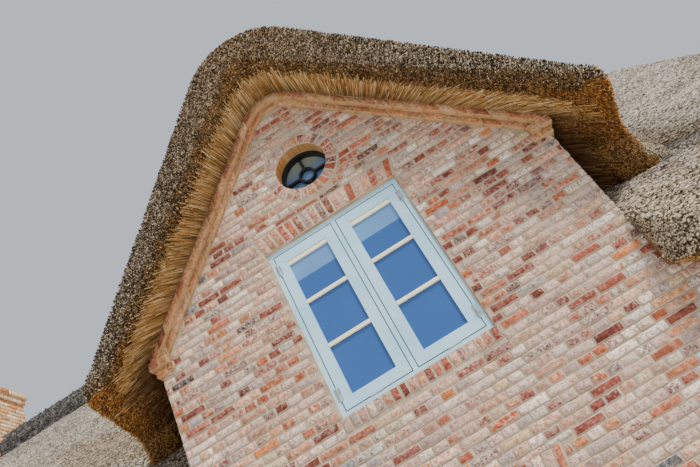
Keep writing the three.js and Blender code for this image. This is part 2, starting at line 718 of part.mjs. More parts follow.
const bayEnvelope = bayShell(SEAT);
const bayVoid = bayRoom(BAY_HALF + SEAT, -RAKE_BAND, [-2 * EAVE_OUT, RIDGE_Y]);
const mainThatch = mainShell();
addPiece(
  'main_thatch',
  cut(mainThatch, bayEnvelope, bayVoid, stackShaft([0, 2 * STACK_TOP])),
  'thatch',
);
addPiece('cross_gable_thatch', cut(bayShell(), mainAttic(0)), 'thatch');

// Section of a heather ridge that follows the curve of the thatch under it
function saddle(curve, centre, half, rise) {
  const top = Array.from({ length: RIDGE_STEPS + 1 }, (_, k) => {
    const across = half * (1 - (2 * k) / RIDGE_STEPS);
    const bulge = 1 - RIDGE_TAPER * (across / half) ** 2;
    return new THREE.Vector2(centre + across, curve(centre + across) + rise * bulge);
  });
  const base = curve(centre + half) - RIDGE_BED;
  return [...top, new THREE.Vector2(centre - half, base), new THREE.Vector2(centre + half, base)];
}

const mainSaddle = saddle(mainCurve, RIDGE_Y, RIDGE_HALF, RIDGE_RISE);
const mainEnvelope = mainThatch.translate([0, 0, SEAT]);
const ridgeEnds = widen([HOUSE_LEFT, HOUSE_RIGHT], MAIN_VERGE_OUT - RIDGE_SETBACK);
const leftOfStack = [ridgeEnds[0], STACK_LEFT - SEAT];
const rightOfStack = [STACK_LEFT + STACK_SIZE + SEAT, ridgeEnds[1]];
addPiece('left_heather_ridge', cut(prismX(mainSaddle, leftOfStack), mainEnvelope), 'heather');
addPiece(
  'main_heather_ridge',
  cut(prismX(mainSaddle, rightOfStack), mainEnvelope, bayEnvelope),
  'heather',
);
const baySaddle = saddle(bayCurve, 0, BAY_RIDGE_HALF, BAY_RIDGE_RISE);
const bayRidge = prismY(baySaddle, [BAY_RIDGE_START, RIDGE_Y - RIDGE_HALF - SEAT]);
addPiece('cross_gable_heather_ridge', cut(bayRidge, bayEnvelope, mainEnvelope), 'heather');

// Windows of the cross gable

const bayWindow = placeAt(0, 0, BAY_WINDOW.sill);
addPiece('gable_window_frame', windowFrame(BAY_WINDOW), 'paint', bayWindow);
Object.entries({ left: -1, right: 1 }).forEach(([name, side]) => {
  addPiece(`gable_window_${name}_casement`, casement(BAY_WINDOW, side), 'paint', bayWindow);
  addPiece(`gable_window_${name}_glass`, pane(BAY_WINDOW, side), 'glass', bayWindow);
});

function oculusFrame() {
  const depth = [OCULUS_SETBACK, OCULUS_SETBACK + OCULUS_DEPTH];
  const through = widen(depth, 1);
  const annulus = (outer, rim) => cut(disc(0, 0, outer, depth), disc(0, 0, outer - rim, through));
  const reach = OCULUS_RADIUS - OCULUS_RIM + OCULUS_WELD;
  const half = OCULUS_SPOKE / 2;
  const spokes = cut(
    join(block([-reach, reach], depth, [-half, half]), block([-half, half], depth, [-reach, reach])),
    disc(0, 0, OCULUS_HUB_RADIUS - OCULUS_HUB_RIM / 2, through, HUB_SIDES),
  );
  return join(annulus(OCULUS_RADIUS - SEAT, OCULUS_RIM), annulus(OCULUS_HUB_RADIUS, OCULUS_HUB_RIM), spokes);
}

const roundLight = placeAt(0, 0, OCULUS_Z);
const glassFront = OCULUS_SETBACK + OCULUS_DEPTH + SEAT;
addPiece('round_light_frame', oculusFrame(), 'iron', roundLight);
addPiece(
  'round_light_glass',
  disc(0, 0, OCULUS_RADIUS - SEAT, [glassFront, glassFront + GLASS]),
  'glass',
  roundLight,
);

// The other windows

function addFixedWindow(name, size, group) {
  addPiece(`${name}_frame`, fixedWindow(size), 'paint', group);
  addPiece(`${name}_glass`, fixedGlass(size), 'glass', group);
}

Object.entries(FRONT_WINDOWS).forEach(([name, x]) => {
  addFixedWindow(`front_${name}_window`, LOW_WINDOW, placeAt(x, 0, LOW_WINDOW.sill));
});
Object.entries(BACK_WINDOWS).forEach(([name, x]) => {
  addFixedWindow(`back_${name}_window`, LOW_WINDOW, placeAt(x, HOUSE_DEPTH, LOW_WINDOW.sill, Math.PI));
});
const leftLight = placeAt(HOUSE_LEFT, RIDGE_Y, HIGH_WINDOW.sill, -Math.PI / 2);
addFixedWindow('left_gable_window', HIGH_WINDOW, leftLight);
const rightLight = placeAt(HOUSE_RIGHT, RIDGE_Y, HIGH_WINDOW.sill, Math.PI / 2);
addFixedWindow('right_gable_window', HIGH_WINDOW, rightLight);

// Front door

function doorFrame() {
  const front = DOOR_SETBACK;
  const stop = front + DOOR_LEAF_DEPTH + SEAT;
  const back = front + DOOR_FRAME_DEPTH;
  const half = DOOR_WIDTH / 2;
  const arch = (border, depth) => cut(
    block([-half, half], depth, [0, DOOR_HEIGHT]),
    block([border - half, half - border], widen(depth, 1), [-1, DOOR_HEIGHT - border]),
  );
  return join(arch(DOOR_JAMB, [front, back]), arch(DOOR_JAMB + DOOR_STOP, [stop, back]));
}

const doorway = placeAt(0, 0, GROUND_SLAB_TOP);
addPiece('front_door_frame', doorFrame(), 'paint', doorway);
addPiece('front_door', block(
  [DOOR_JAMB + SASH_GAP - DOOR_WIDTH / 2, DOOR_WIDTH / 2 - DOOR_JAMB - SASH_GAP],
  [DOOR_SETBACK, DOOR_SETBACK + DOOR_LEAF_DEPTH],
  [SEAT, DOOR_HEIGHT - DOOR_JAMB - SASH_GAP],
), 'paint', doorway);

export default cottage;
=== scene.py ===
"""Thatched brick cottage with a cross gable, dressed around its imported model. Metres, +Z up.

+X runs along the main ridge, +Y from the front wall to the back wall. A facade is drawn flat in
(u, v, out): u to the right as seen from outside, v upwards, out away from the wall.
"""

import json
import logging
import math
from collections.abc import Callable, Iterator, Sequence
from contextlib import contextmanager
from dataclasses import dataclass, field, replace
from enum import Enum
from functools import cache, partial

import bmesh
import bpy
import numpy as np
from mathutils import Matrix, Vector


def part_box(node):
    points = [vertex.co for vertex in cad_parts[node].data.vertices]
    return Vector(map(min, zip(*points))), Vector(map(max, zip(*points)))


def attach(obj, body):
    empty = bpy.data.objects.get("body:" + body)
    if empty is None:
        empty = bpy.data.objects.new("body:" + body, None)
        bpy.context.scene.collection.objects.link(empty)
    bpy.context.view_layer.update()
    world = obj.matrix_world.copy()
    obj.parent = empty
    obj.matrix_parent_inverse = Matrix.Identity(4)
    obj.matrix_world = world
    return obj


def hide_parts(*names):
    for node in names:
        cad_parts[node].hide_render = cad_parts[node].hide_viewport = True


Triple = tuple[float, float, float]
Pair = tuple[float, float]
Box = tuple[Pair, Pair, Pair]
Stops = tuple[tuple[float, str], ...]
Links = dict[str, bpy.types.NodeSocket]

log = logging.getLogger("cottage")
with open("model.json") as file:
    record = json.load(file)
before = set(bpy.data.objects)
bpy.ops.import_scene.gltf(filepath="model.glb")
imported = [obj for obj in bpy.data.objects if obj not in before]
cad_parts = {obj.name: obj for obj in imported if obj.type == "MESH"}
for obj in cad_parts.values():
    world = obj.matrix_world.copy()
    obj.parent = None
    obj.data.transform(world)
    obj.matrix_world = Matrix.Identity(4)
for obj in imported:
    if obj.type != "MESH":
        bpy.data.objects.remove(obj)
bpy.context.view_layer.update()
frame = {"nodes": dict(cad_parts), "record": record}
SLOT_OF_NODE = {row["node"]: row["material_slot"] for row in frame["record"]["subparts"]}

ROOT = "root"
MM = 0.001
TINY = 1e-5
UP = Vector((0, 0, 1))

# Brickwork: English bond, a stretcher course over a header course. POINTED is the joint left
# round arches, sills and the ring, TRIM_PROUD how far stepped bricks stand out of their solid.
COURSE = 0.069
JOINT = 0.010
INSET = JOINT / 2
STRETCHER = 0.220
HEADER = 0.110
BRICK_PROUD = 0.008
TRIM_PROUD = 0.006
BRICK_EMBED = 0.003
EDGE_KEPT = 0.019
POINTED = 0.008

# The cross gable's soffit and the main roof, as in the part's source
BAY_PITCH = math.radians(47.5)
BAY_ROUNDING = 0.350
MAIN_PITCH = math.radians(43.5)
BAND = 0.065
BAND_STEP = 0.030
BANDS_DEPTH = 2 * BAND + 0.010


# Shader nodes


class Kind(Enum):
    """Kinds of shader node: type, inputs in order, output (None for all) and settings."""

    OBJECT = ("TexCoord", (), "Object", {})
    NORMAL = ("NewGeometry", (), "Normal", {})
    ATTRIBUTE = ("Attribute", (), None, {})
    STRETCHED = ("Mapping", ("Vector", "Scale"), 0, {})
    SHIFTED = ("VectorMath", (0, 1), 0, {"operation": "ADD"})
    NOISE = ("TexNoise", ("Vector", "Scale", "Detail"), "Fac", {})
    COLOURED_NOISE = ("TexNoise", ("Vector", "Scale", "Detail"), "Color", {})
    CELLS = ("TexVoronoi", ("Vector", "Scale"), None, {})
    COORDINATES = ("SeparateXYZ", (0,), None, {})
    PARTS = ("SeparateColor", (0,), None, {})
    RAMP = ("ValToRGB", (0,), 0, {"interpolation": "LINEAR"})
    STEPS = ("ValToRGB", (0,), 0, {"interpolation": "CONSTANT"})
    SPAN = ("MapRange", (0, 1, 2, 3, 4), 0, {"interpolation_type": "SMOOTHSTEP"})
    MIX = ("Mix", (0, 6, 7), 2, {"data_type": "RGBA"})
    TINT = ("Mix", (0, 6, 7), 2, {"data_type": "RGBA", "blend_type": "MULTIPLY"})
    BUMP = ("Bump", ("Height", "Distance"), 0, {})


def linear(colour: str) -> tuple[float, float, float, float]:
    """Turns an sRGB hex colour into linear RGBA.

    Args:
        colour: Six hex digits, such as "c8602c".

    Returns:
        The linear red, green and blue, and an alpha of 1.
    """
    parts = [int(colour[k : k + 2], 16) / 255 for k in (0, 2, 4)]
    low = [c / 12.92 if c <= 0.04045 else ((c + 0.055) / 1.055) ** 2.4 for c in parts]
    return low[0], low[1], low[2], 1.0


def per_mm(size: float) -> float:
    """Returns the scale of a pattern whose features are size millimetres wide."""
    return 1 / (size * MM)


def add_node(
    tree: bpy.types.NodeTree,
    kind: Kind | str,
    *inputs: object,
    stops: Stops = (),
    **settings: object,
) -> bpy.types.NodeSocket | bpy.types.NodeOutputs:
    """Adds a shader node with its settings, values and links.

    Args:
        tree: The node tree.
        kind: The kind of node, or the operation of a Math node.
        inputs: Values, hex colours or output sockets to link, in the kind's order.
        stops: A ramp's places with their hex colours.
        settings: More properties of the node.

    Returns:
        Its output, or all its outputs where its kind names none.
    """
    maths = ("Math", (0, 1, 2), 0, {"operation": kind})
    name, sockets, output, fixed = kind.value if isinstance(kind, Kind) else maths
    made = tree.nodes.new("ShaderNode" + name)
    owner = made.color_ramp if stops else made
    for key, value in (fixed | settings).items():
        setattr(owner, key, value)
    for key, value in zip(sockets, inputs):
        if isinstance(value, bpy.types.NodeSocket):
            tree.links.new(value, made.inputs[key])
        else:
            made.inputs[key].default_value = linear(value) if isinstance(value, str) else value
    for k, (place, colour) in enumerate(stops):
        element = owner.elements[k] if k < 2 else owner.elements.new(1.0)
        element.position, element.color = place, linear(colour)
    return made.outputs if output is None else made.outputs[output]


# Finishes


@dataclass(frozen=True)
class Finish:
    """A finish with its shader's plain values, and patterns that its subclass draws."""

    name: str
    roughness: float = 0.8
    metallic: float = 0.0
    specular: float = 0.5

    def material(self) -> bpy.types.Material:
        """Gives the Blender material, built on first use.

        Returns:
            The material.
        """
        made = bpy.data.materials.get(self.name)
        if made:
            return made
        made = bpy.data.materials.new(self.name)
        made.use_nodes = True
        tree = made.node_tree
        shader = tree.nodes["Principled BSDF"].inputs
        shader["Roughness"].default_value = self.roughness
        shader["Metallic"].default_value = self.metallic
        shader["Specular IOR Level"].default_value = self.specular
        for key, socket in self.draw(partial(add_node, tree)).items():
            tree.links.new(socket, shader[key])
        return made

    def draw(self, add: Callable) -> Links:
        """Adds the nodes and returns what the shader takes. Subclasses give it."""
        raise NotImplementedError

    def dress(self, piece: bpy.types.Object) -> None:
        """Makes this the only finish of a piece."""
        piece.data.materials.clear()
        piece.data.materials.append(self.material())


@dataclass(frozen=True)
class CoatFinish(Finish):
    """Soft clouds of tone with a finer grain in relief: mortar, paint, metal, wood, stone.

    Clouds and grain are each given by their size in millimetres and their detail. shares are
    their weights in the tone, run stretches the grain, relief is its depth in millimetres,
    swell is the clouds' part of the relief, and gloss is how far the roughness goes each way.
    """

    tones: Stops = ()
    clouds: Pair = (180, 4)
    grain: Pair = (6, 3)
    shares: Pair = (1.0, 0.6)
    run: Triple = (1.0, 1.0, 1.0)
    relief: float = 3.0
    swell: float = 0.0
    gloss: Pair | None = None

    def draw(self, add: Callable) -> Links:
        """Draws the clouds and the grain.

        Args:
            add: Adds a node to the finish's tree.

        Returns:
            The colour, the relief and, where gloss is given, the roughness.
        """
        place = add(Kind.OBJECT)
        clouds = add(Kind.NOISE, place, per_mm(self.clouds[0]), self.clouds[1])
        along = add(Kind.STRETCHED, place, self.run)
        grain = add(Kind.NOISE, along, per_mm(self.grain[0]), self.grain[1])
        tone = add("MULTIPLY_ADD", grain, self.shares[1], add("MULTIPLY", clouds, self.shares[0]))
        height = add("MULTIPLY_ADD", clouds, self.swell, grain)
        links = {
            "Base Color": add(Kind.RAMP, tone, stops=self.tones),
            "Normal": add(Kind.BUMP, height, self.relief * MM),
        }
        if self.gloss:
            ends = (self.roughness + change for change in self.gloss)
            links["Roughness"] = add(Kind.SPAN, clouds, 0.3, 0.7, *ends)
        return links


@dataclass(frozen=True)
class RevealFinish(CoatFinish):
    """Rubbed clay in a reveal, behind a face that is pointed with lime mortar."""

    face: float = 0.0
    centre: Pair = (0.0, 0.0)
    spokes: int = 0

    def draw(self, add: Callable) -> Links:
        """Draws the clay, one tone to each brick of a ring, and mortar on the wall's face.

        Args:
            add: Adds a node to the finish's tree.

        Returns:
            The colour and the relief.
        """
        links = super().draw(add)
        clay = links["Base Color"]
        x, y, z = add(Kind.COORDINATES, add(Kind.OBJECT))
        if self.spokes:
            across, above = add("SUBTRACT", x, self.centre[0]), add("SUBTRACT", z, self.centre[1])
            angle = add("ARCTAN2", above, across)
            count = add("MULTIPLY_ADD", angle, self.spokes / (2 * math.pi), 0.5)
            own = add("SINE", add("MULTIPLY", add("FLOOR", count), 12.9))
            clay = add(Kind.MIX, 0.6, clay, add(Kind.STEPS, own, stops=RING_CLAY))
            edge = add("ABSOLUTE", add("SUBTRACT", add("FRACT", count), 0.5))
            clay = add(Kind.MIX, add(Kind.SPAN, edge, 0.42, 0.47, 0.0, 0.7), clay, "7d6347")
        outside = add(Kind.SPAN, y, self.face + 0.001, self.face + 0.003, 1.0, 0.0)
        return links | {"Base Color": add(Kind.MIX, outside, clay, "cbb8a3")}


@dataclass(frozen=True)
class BrickFinish(Finish):
    """Hand-made clay brick: one tone to each brick, a pitted face and a worn lime wash."""

    tones: Stops = ()
    washes: Stops = (
        (0.0, "efe2d0"), (0.2, "d6c0b1"), (0.42, "e4d3c4"), (0.6, "c6bab3"),
        (0.74, "f4ece0"), (0.87, "d2c4a3"), (0.94, "bbc0c2"),
    )
    wash_amount: float = 0.62
    smear: str = "cbb8a4"

    def draw(self, add: Callable) -> Links:
        """Draws the clay's tone, kiln spots 28 mm wide and the wash left in soft patches.

        Args:
            add: Adds a node to the finish's tree.

        Returns:
            The colour and the relief.
        """
        brick = add(Kind.ATTRIBUTE, attribute_name="brick")
        own_tone, own_wash, own_seed = add(Kind.PARTS, brick["Color"])
        place = add(Kind.SHIFTED, add(Kind.OBJECT), add("MULTIPLY", own_seed, 50.0))
        clouds = add(Kind.NOISE, place, per_mm(28), 5)
        spots = add(Kind.NOISE, place, per_mm(12), 3)
        blush = add(Kind.NOISE, place, per_mm(22), 3)
        fired = add("MULTIPLY_ADD", add("FRACT", add("MULTIPLY", own_seed, 7.3)), 0.50, 0.74)
        shade = add("MULTIPLY", add(Kind.SPAN, clouds, 0.34, 0.66, 0.70, 1.22), fired)
        clay = add(Kind.TINT, 1.0, add(Kind.STEPS, own_tone, stops=self.tones), shade)
        worn = add("SUBTRACT", add("MULTIPLY_ADD", clouds, 0.8, spots), 1.17)
        veil = add("MULTIPLY_ADD", own_wash, self.wash_amount, worn)
        wash = add(Kind.TINT, 0.8, add(Kind.STEPS, own_seed, stops=self.washes), fired)
        washed = add(Kind.MIX, add(Kind.SPAN, veil, -0.19, 0.24, 0.0, 0.87), clay, wash)
        pink = add(Kind.MIX, add(Kind.SPAN, blush, 0.52, 0.60, 0.0, 0.6), washed, clay)
        pitted = add(Kind.MIX, add(Kind.SPAN, spots, 0.58, 0.66, 0.0, 0.8), pink, "5d4238")
        arris = add("MULTIPLY_ADD", blush, -1.3, add("ADD", brick["Alpha"], 0.62))
        smeared = add(Kind.SPAN, arris, 0.35, 0.95, 0.85, 0.0)
        height = add("MULTIPLY_ADD", clouds, 0.6, add("MULTIPLY", blush, 0.4))
        return {
            "Base Color": add(Kind.MIX, smeared, pitted, self.smear),
            "Normal": add(Kind.BUMP, height, 12 * MM),
        }


@dataclass(frozen=True)
class ThatchFinish(Finish):
    """Water reed laid by hand: cut ends as fine speckle, weathered grey above, golden below."""

    top: tuple[str, str, str] = ("372f26", "988b7a", "ebe2d2")
    cut: tuple[str, str, str] = ("2c241c", "7d6b57", "c8b79d")
    under: tuple[str, str, str] = ("5a4228", "a37c48", "d6b480")
    run: Triple = (0.6, 1.0, 1.0)
    reed: float = 11
    eave: float = 0.0

    def draw(self, add: Callable) -> Links:
        """Draws reed ends, drawn out along the courses, with painted shade in the gaps between
        them, tufts of 45 mm and patches of 420 mm.

        Args:
            add: Adds a node to the finish's tree.

        Returns:
            The colour and the relief.
        """
        place = add(Kind.OBJECT)
        along = add(Kind.STRETCHED, place, self.run)
        warp = add(Kind.NOISE, place, per_mm(60), 2)
        tufts = add(Kind.NOISE, along, per_mm(45), 3)
        patches = add(Kind.NOISE, place, per_mm(420), 4)
        bent = add(Kind.MIX, 0.015, along, add(Kind.COLOURED_NOISE, place, per_mm(55), 1))
        ends = add(Kind.CELLS, bent, per_mm(self.reed))
        own_tone, own_height, _ = add(Kind.PARTS, ends["Color"])
        # Painted shade: each reed end is lighter at its middle and darker towards the gaps between
        # stems
        stem = add(Kind.SPAN, ends["Distance"], 0.25, 0.75, 1.0, 0.0)
        level = add("MULTIPLY_ADD", own_tone, 0.70, add("MULTIPLY", stem, 0.42))
        lifted = add("MULTIPLY_ADD", tufts, 0.55, add("SUBTRACT", level, 0.32))
        aged = add("MULTIPLY_ADD", patches, 0.45, add("SUBTRACT", lifted, 0.22))
        above, face, below = (
            add(Kind.RAMP, aged, stops=tuple(zip((0.24, 0.52, 0.82), tones)))
            for tones in (self.top, self.cut, self.under)
        )
        facing = add(Kind.COORDINATES, add(Kind.NORMAL))["Z"]
        lit = add("MULTIPLY_ADD", warp, 0.3, add("SUBTRACT", facing, 0.15))
        upper = add(Kind.MIX, add(Kind.SPAN, lit, 0.26, 0.50), face, above)
        if self.eave:
            height = add(Kind.COORDINATES, place)["Z"]
            ragged = add("MULTIPLY_ADD", patches, 0.8, add("SUBTRACT", height, 0.4))
            low = add(Kind.SPAN, ragged, self.eave, self.eave + 0.6, 0.85, 0.0)
            upper = add(Kind.MIX, low, upper, face)
        relief = add("MULTIPLY_ADD", own_height, 0.5, add("MULTIPLY", stem, 0.5))
        return {
            "Base Color": add(Kind.MIX, add(Kind.SPAN, lit, -0.34, -0.10), below, upper),
            "Normal": add(Kind.BUMP, add("MULTIPLY_ADD", tufts, 1.2, relief), 15 * MM),
        }


@dataclass(frozen=True)
class ReedFinish(Finish):
    """Single cut reeds: each has its own tone, from dark hollow stems to bleached straw."""

    tones: Stops = ()
    sheltered: Stops = ()

    def draw(self, add: Callable) -> Links:
        """Draws each reed's tone, mixes in the finish's second tones by each reed's share, and
        darkens its foot as painted shade. The second tones are golden sheltered reed on the verge's
        ends, and painted shade on the soffit's straws and the eaves' ends.

        Args:
            add: Adds a node to the finish's tree.

        Returns:
            The colour.
        """
        reed = add(Kind.ATTRIBUTE, attribute_name="reed")["Color"]
        own_tone, along, golden = add(Kind.PARTS, reed)
        colour = add(Kind.RAMP, own_tone, stops=self.tones)
        # Second tones by each reed's share: golden where sheltered, painted shade where the finish
        # gives dark ones
        if self.sheltered:
            shelter_and_shade_colour = add(Kind.RAMP, own_tone, stops=self.sheltered)
            colour = add(Kind.MIX, golden, colour, shelter_and_shade_colour)
        # Painted shade: each reed is darker towards its foot, where the reeds round it shade it
        shade = add(Kind.SPAN, along, 0.0, 1.0, 0.45, 1.1)
        return {"Base Color": add(Kind.TINT, 1.0, colour, shade)}


@dataclass(frozen=True)
class GlassFinish(Finish):
    """Float glass before a dark room, coloured as a painted reflection: deep sky blue, paler in a
    band near its head, with clear gloss.
    """

    # Painted reflection: deep is the sky mirrored in the glass, pale the brighter reflection above
    # the band
    deep: str = "2c5c9e"
    pale: str = "6a98cb"
    band: Pair = (0.0, 1.0)

    def draw(self, add: Callable) -> Links:
        """Draws the painted reflection: darker below and brighter above a band, with slow waves of
        500 mm.

        Args:
            add: Adds a node to the finish's tree.

        Returns:
            The colour and the relief.
        """
        place = add(Kind.OBJECT)
        wave = add(Kind.NOISE, place, per_mm(500), 1)
        paler = add(Kind.SPAN, add(Kind.COORDINATES, place)["Z"], *self.band)
        colour = add(Kind.MIX, paler, self.deep, self.pale)
        slow = add(Kind.MIX, add(Kind.SPAN, wave, 0.3, 0.7, 0.0, 0.25), colour, "254f8e")
        return {"Base Color": slow, "Normal": add(Kind.BUMP, wave, 0.4 * MM)}


# Facing brick: salmon, orange and red clay, most of it under a worn lime wash
WALL_BRICK = BrickFinish(
    "hand_made_brick", 0.9, specular=0.25,
    tones=(
        (0.0, "c88566"), (0.14, "ce987d"), (0.28, "b8694b"), (0.4, "9c5342"), (0.5, "d07c45"),
        (0.58, "b25a36"), (0.67, "8f4a3f"), (0.78, "7c3e36"), (0.86, "d9ae92"),
        (0.95, "5c3531"), (0.98, "636468"),
    ),
)
# Facing brick of the flat arches, the sills and the ring: more of it bare red
SOLDIER_BRICK = replace(
    WALL_BRICK, name="orange_red_brick", wash_amount=0.44,
    tones=(
        (0.0, "bb6443"), (0.22, "a9523d"), (0.42, "c67b55"), (0.6, "934539"), (0.76, "cf9679"),
        (0.9, "7c3d34"),
    ),
)
# Thin bricks of the corbels, less washed and more even in tone
CORBEL_BRICK = replace(
    WALL_BRICK, name="corbel_brick", wash_amount=0.34, smear="cda574",
    tones=(
        (0.0, "c48b68"), (0.25, "b57352"), (0.45, "cb9c78"), (0.65, "a4674e"), (0.82, "bd8056"),
    ),
    washes=((0.0, "e2c4a2"), (0.4, "cdb3a0"), (0.7, "dcbd92")),
)
# Chimney brick: light orange and cream clay, its tones lighter than the walls' partly as painted
# light for the sun on the stack
CHIMNEY_BRICK = replace(
    WALL_BRICK, name="chimney_brick", wash_amount=0.42, smear="e9c79c",
    tones=(
        (0.0, "f0bf94"), (0.25, "eaa871"), (0.45, "df935c"), (0.62, "f7ddb8"), (0.82, "d07c50"),
    ),
    washes=((0.0, "ffe9ca"), (0.5, "f6cf9f")),
)
# Lime and sand mortar, brushed flush: pale sand in patches, with grains and small pits
MORTAR = CoatFinish(
    "lime_mortar", 0.95, specular=0.2, tones=((0.5, "94806b"), (1.0, "cdbaa5"))
)
# Sand mortar in the corbels' narrow joints, out of the rain: still golden
CORBEL_MORTAR = replace(MORTAR, name="sand_mortar", tones=((0.5, "a98a5f"), (1.0, "d6b88c")))
# Clay of the reveals in the cross gable: yellow-tan, rubbed smooth
REVEAL = RevealFinish(
    "rubbed_clay", 0.9, specular=0.2, tones=((0.5, "b9854a"), (1.0, "dcb277")),
    face=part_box("front_wall")[0].y,
)
RING_CLAY = ((0.0, "d08a48"), (0.35, "d6b074"), (0.7, "b98d62"))
RING_REVEAL = replace(
    REVEAL, name="rubbed_clay_ring", spokes=26,
    centre=tuple((low + high) / 2 for low, high in list(zip(*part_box("round_light_ring")))[::2]),
)
# Weathered reed of the main roof, silver-grey, and browner near its eaves
MAIN_REED = ThatchFinish(
    "weathered_reed", 0.95, specular=0.15, cut=("30261c", "938069", "e0d0b6"), reed=12, eave=3.45
)
# Reed of the cross gable, with painted shade between its stems and darker tones on its underside
BAY_REED = ThatchFinish(
    "cut_reed", 0.95, specular=0.15, under=("3c2a17", "75552f", "a37b4a"), run=(1.0, 0.45, 1.0)
)
# Cut reed ends at the verge: grey-brown stems with bleached rims
CUT_ENDS = ReedFinish(
    "cut_reed_ends", 0.9, specular=0.2,
    tones=((0.0, "100c09"), (0.3, "30271f"), (0.6, "615345"), (0.85, "988872"), (1.0, "dfd2bc")),
    sheltered=((0.0, "150e07"), (0.35, "543c25"), (0.7, "957147"), (1.0, "dab684")),
)
# Reed on the underside, out of the rain: still golden; its dark brown sheltered tones are painted
# shade near the wall and past its ends
GOLDEN_REED = ReedFinish(
    "golden_reed", 0.75, specular=0.3,
    tones=((0.0, "604422"), (0.25, "ae7f43"), (0.65, "d9ab6a"), (1.0, "fde8bc")),
    sheltered=((0.0, "1c1006"), (0.5, "4f3216"), (1.0, "8f6636")),
)
# Cut ends under the eaves: orange-brown, dark between the stems; their dark sheltered tones are
# painted shade near the wall's corner, behind it and low down
EAVE_ENDS = ReedFinish(
    "sheltered_reed_ends", 0.85, specular=0.2,
    tones=((0.0, "4c2d12"), (0.35, "9c652c"), (0.7, "ca8a42"), (1.0, "e9b97a")),
    sheltered=((0.0, "221408"), (0.5, "543414"), (1.0, "91602f")),
)
# Bleached stubble on the slopes
STUBBLE = ReedFinish(
    "bleached_reed_stubble", 0.9, specular=0.2,
    tones=((0.0, "3a2f23"), (0.35, "84755f"), (0.8, "bcac93"), (1.0, "efe5d2")),
)
# Loose heather tips: near black, with a few bleached ones
HEATHER_TWIGS = ReedFinish(
    "heather_twigs", 0.95, specular=0.15,
    tones=((0.0, "171516"), (0.45, "423f3e"), (0.8, "7c7772"), (1.0, "cdc6bb")),
)
# Packed heather: twigs 9 mm thick in clumps of 60 mm, deeply uneven
HEATHER = CoatFinish(
    "packed_heather", 0.97, specular=0.15, clouds=(60, 3), grain=(9, 3), shares=(0.4, 0.7),
    run=(0.5, 1.0, 1.0), relief=21, swell=4 / 7,
    tones=((0.38, "151314"), (0.5, "393737"), (0.6, "625f5c"), (0.72, "a8a29a")),
)
# Linseed oil paint on planed wood: silky, with brush marks 4 mm apart along the grain
PAINT = CoatFinish(
    "oil_paint_pale_blue", 0.42, specular=0.45, clouds=(260, 2), grain=(4, 2),
    shares=(1.0, 0.35), run=(1.0, 1.0, 0.08), relief=0.5, gloss=(-0.05, 0.08),
    tones=((0.45, "a6d6ee"), (0.85, "bce4f7")),
)
# Painted light: cream on the glazing bars and head beads, for the light that their faces catch from
# below
LIT_CREAM_PAINT = replace(
    PAINT, name="oil_paint_cream", roughness=0.45, specular=0.4,
    tones=((0.45, "fbf0cb"), (0.85, "fffbe0")),
)
# Cast iron under black paint: casting grain of 3 mm and cloudy gloss
IRON = CoatFinish(
    "painted_cast_iron", 0.5, clouds=(60, 2), grain=(3, 3), shares=(1.0, 0.0), relief=0.6,
    gloss=(-0.1, 0.1), tones=((0.3, "0d0e10"), (0.7, "1a1c1f")),
)
# Painted shade: matt black strips round each sash, in place of the shadow in the gap between frame
# and sash
GAP_SHADE = replace(
    IRON, name="rubber_seal", roughness=0.8, specular=0.2,
    tones=((0.3, "0a0b0c"), (0.7, "101214")),
)
# Galvanised steel of hinges and stays: pale grey with soft clouds of zinc
ZINC = replace(
    IRON, name="galvanised_steel", roughness=0.45, metallic=0.7,
    tones=((0.3, "8d979e"), (0.7, "b9c2c8")),
)
# Power-floated concrete: pale grey with soft clouds and pores of 4 mm
CONCRETE = CoatFinish(
    "floated_concrete", 0.9, specular=0.3, clouds=(400, 4), grain=(8, 2), shares=(1.0, 0.0),
    relief=1.0, tones=((0.3, "989389"), (0.7, "bab5ac")),
)
PAPER = replace(
    CONCRETE, name="studio_paper", roughness=0.95, specular=0.5,
    tones=((0.3, "d8d4cc"), (0.7, "dedad2")),
)
# Oiled pine boards: growth rings stretched along the board, with darker late wood
PINE = CoatFinish(
    "oiled_pine", 0.6, specular=0.4, grain=(14, 4), shares=(0.0, 1.0), run=(0.06, 1.0, 1.0),
    relief=0.8, tones=((0.35, "8c6238"), (0.65, "c69c67")),
)


# Meshes


def select(*pieces: bpy.types.Object) -> None:
    """Selects these pieces alone, the first one active, so that operators act on them only."""
    bpy.ops.object.select_all(action="DESELECT")
    for piece in pieces:
        piece.select_set(True)
    if pieces:
        bpy.context.view_layer.objects.active = pieces[0]


@contextmanager
def editing(piece: bpy.types.Object) -> Iterator[None]:
    """Opens one piece in edit mode with all of it selected, and closes it afterwards.

    Args:
        piece: The piece.

    Yields:
        Nothing.
    """
    select(piece)
    bpy.ops.object.mode_set(mode="EDIT")
    bpy.ops.mesh.select_all(action="SELECT")
    yield
    bpy.ops.object.mode_set(mode="OBJECT")


class Part(Enum):
    """What a mesh is made of."""

    FACES = "faces"
    EDGES = "edges"


def pick(piece: bpy.types.Object, kind: Part, test: Callable) -> None:
    """Selects some of a piece's faces or edges in edit mode.

    Args:
        piece: The piece in edit mode.
        kind: Faces or edges.
        test: Says which of them.
    """
    bpy.ops.mesh.select_all(action="DESELECT")
    bm = bmesh.from_edit_mesh(piece.data)
    for part in getattr(bm, kind.value):
        part.select = bool(test(part))
    bmesh.update_edit_mesh(piece.data)


def merged(pieces: Sequence[bpy.types.Object]) -> bpy.types.Object:
    """Applies the pieces' places to their meshes and joins them.

    Args:
        pieces: The pieces, of which the first takes the others.

    Returns:
        The first piece.
    """
    select(*pieces)
    bpy.ops.object.transform_apply()
    if len(pieces) > 1:
        bpy.ops.object.join()
    return bpy.context.object


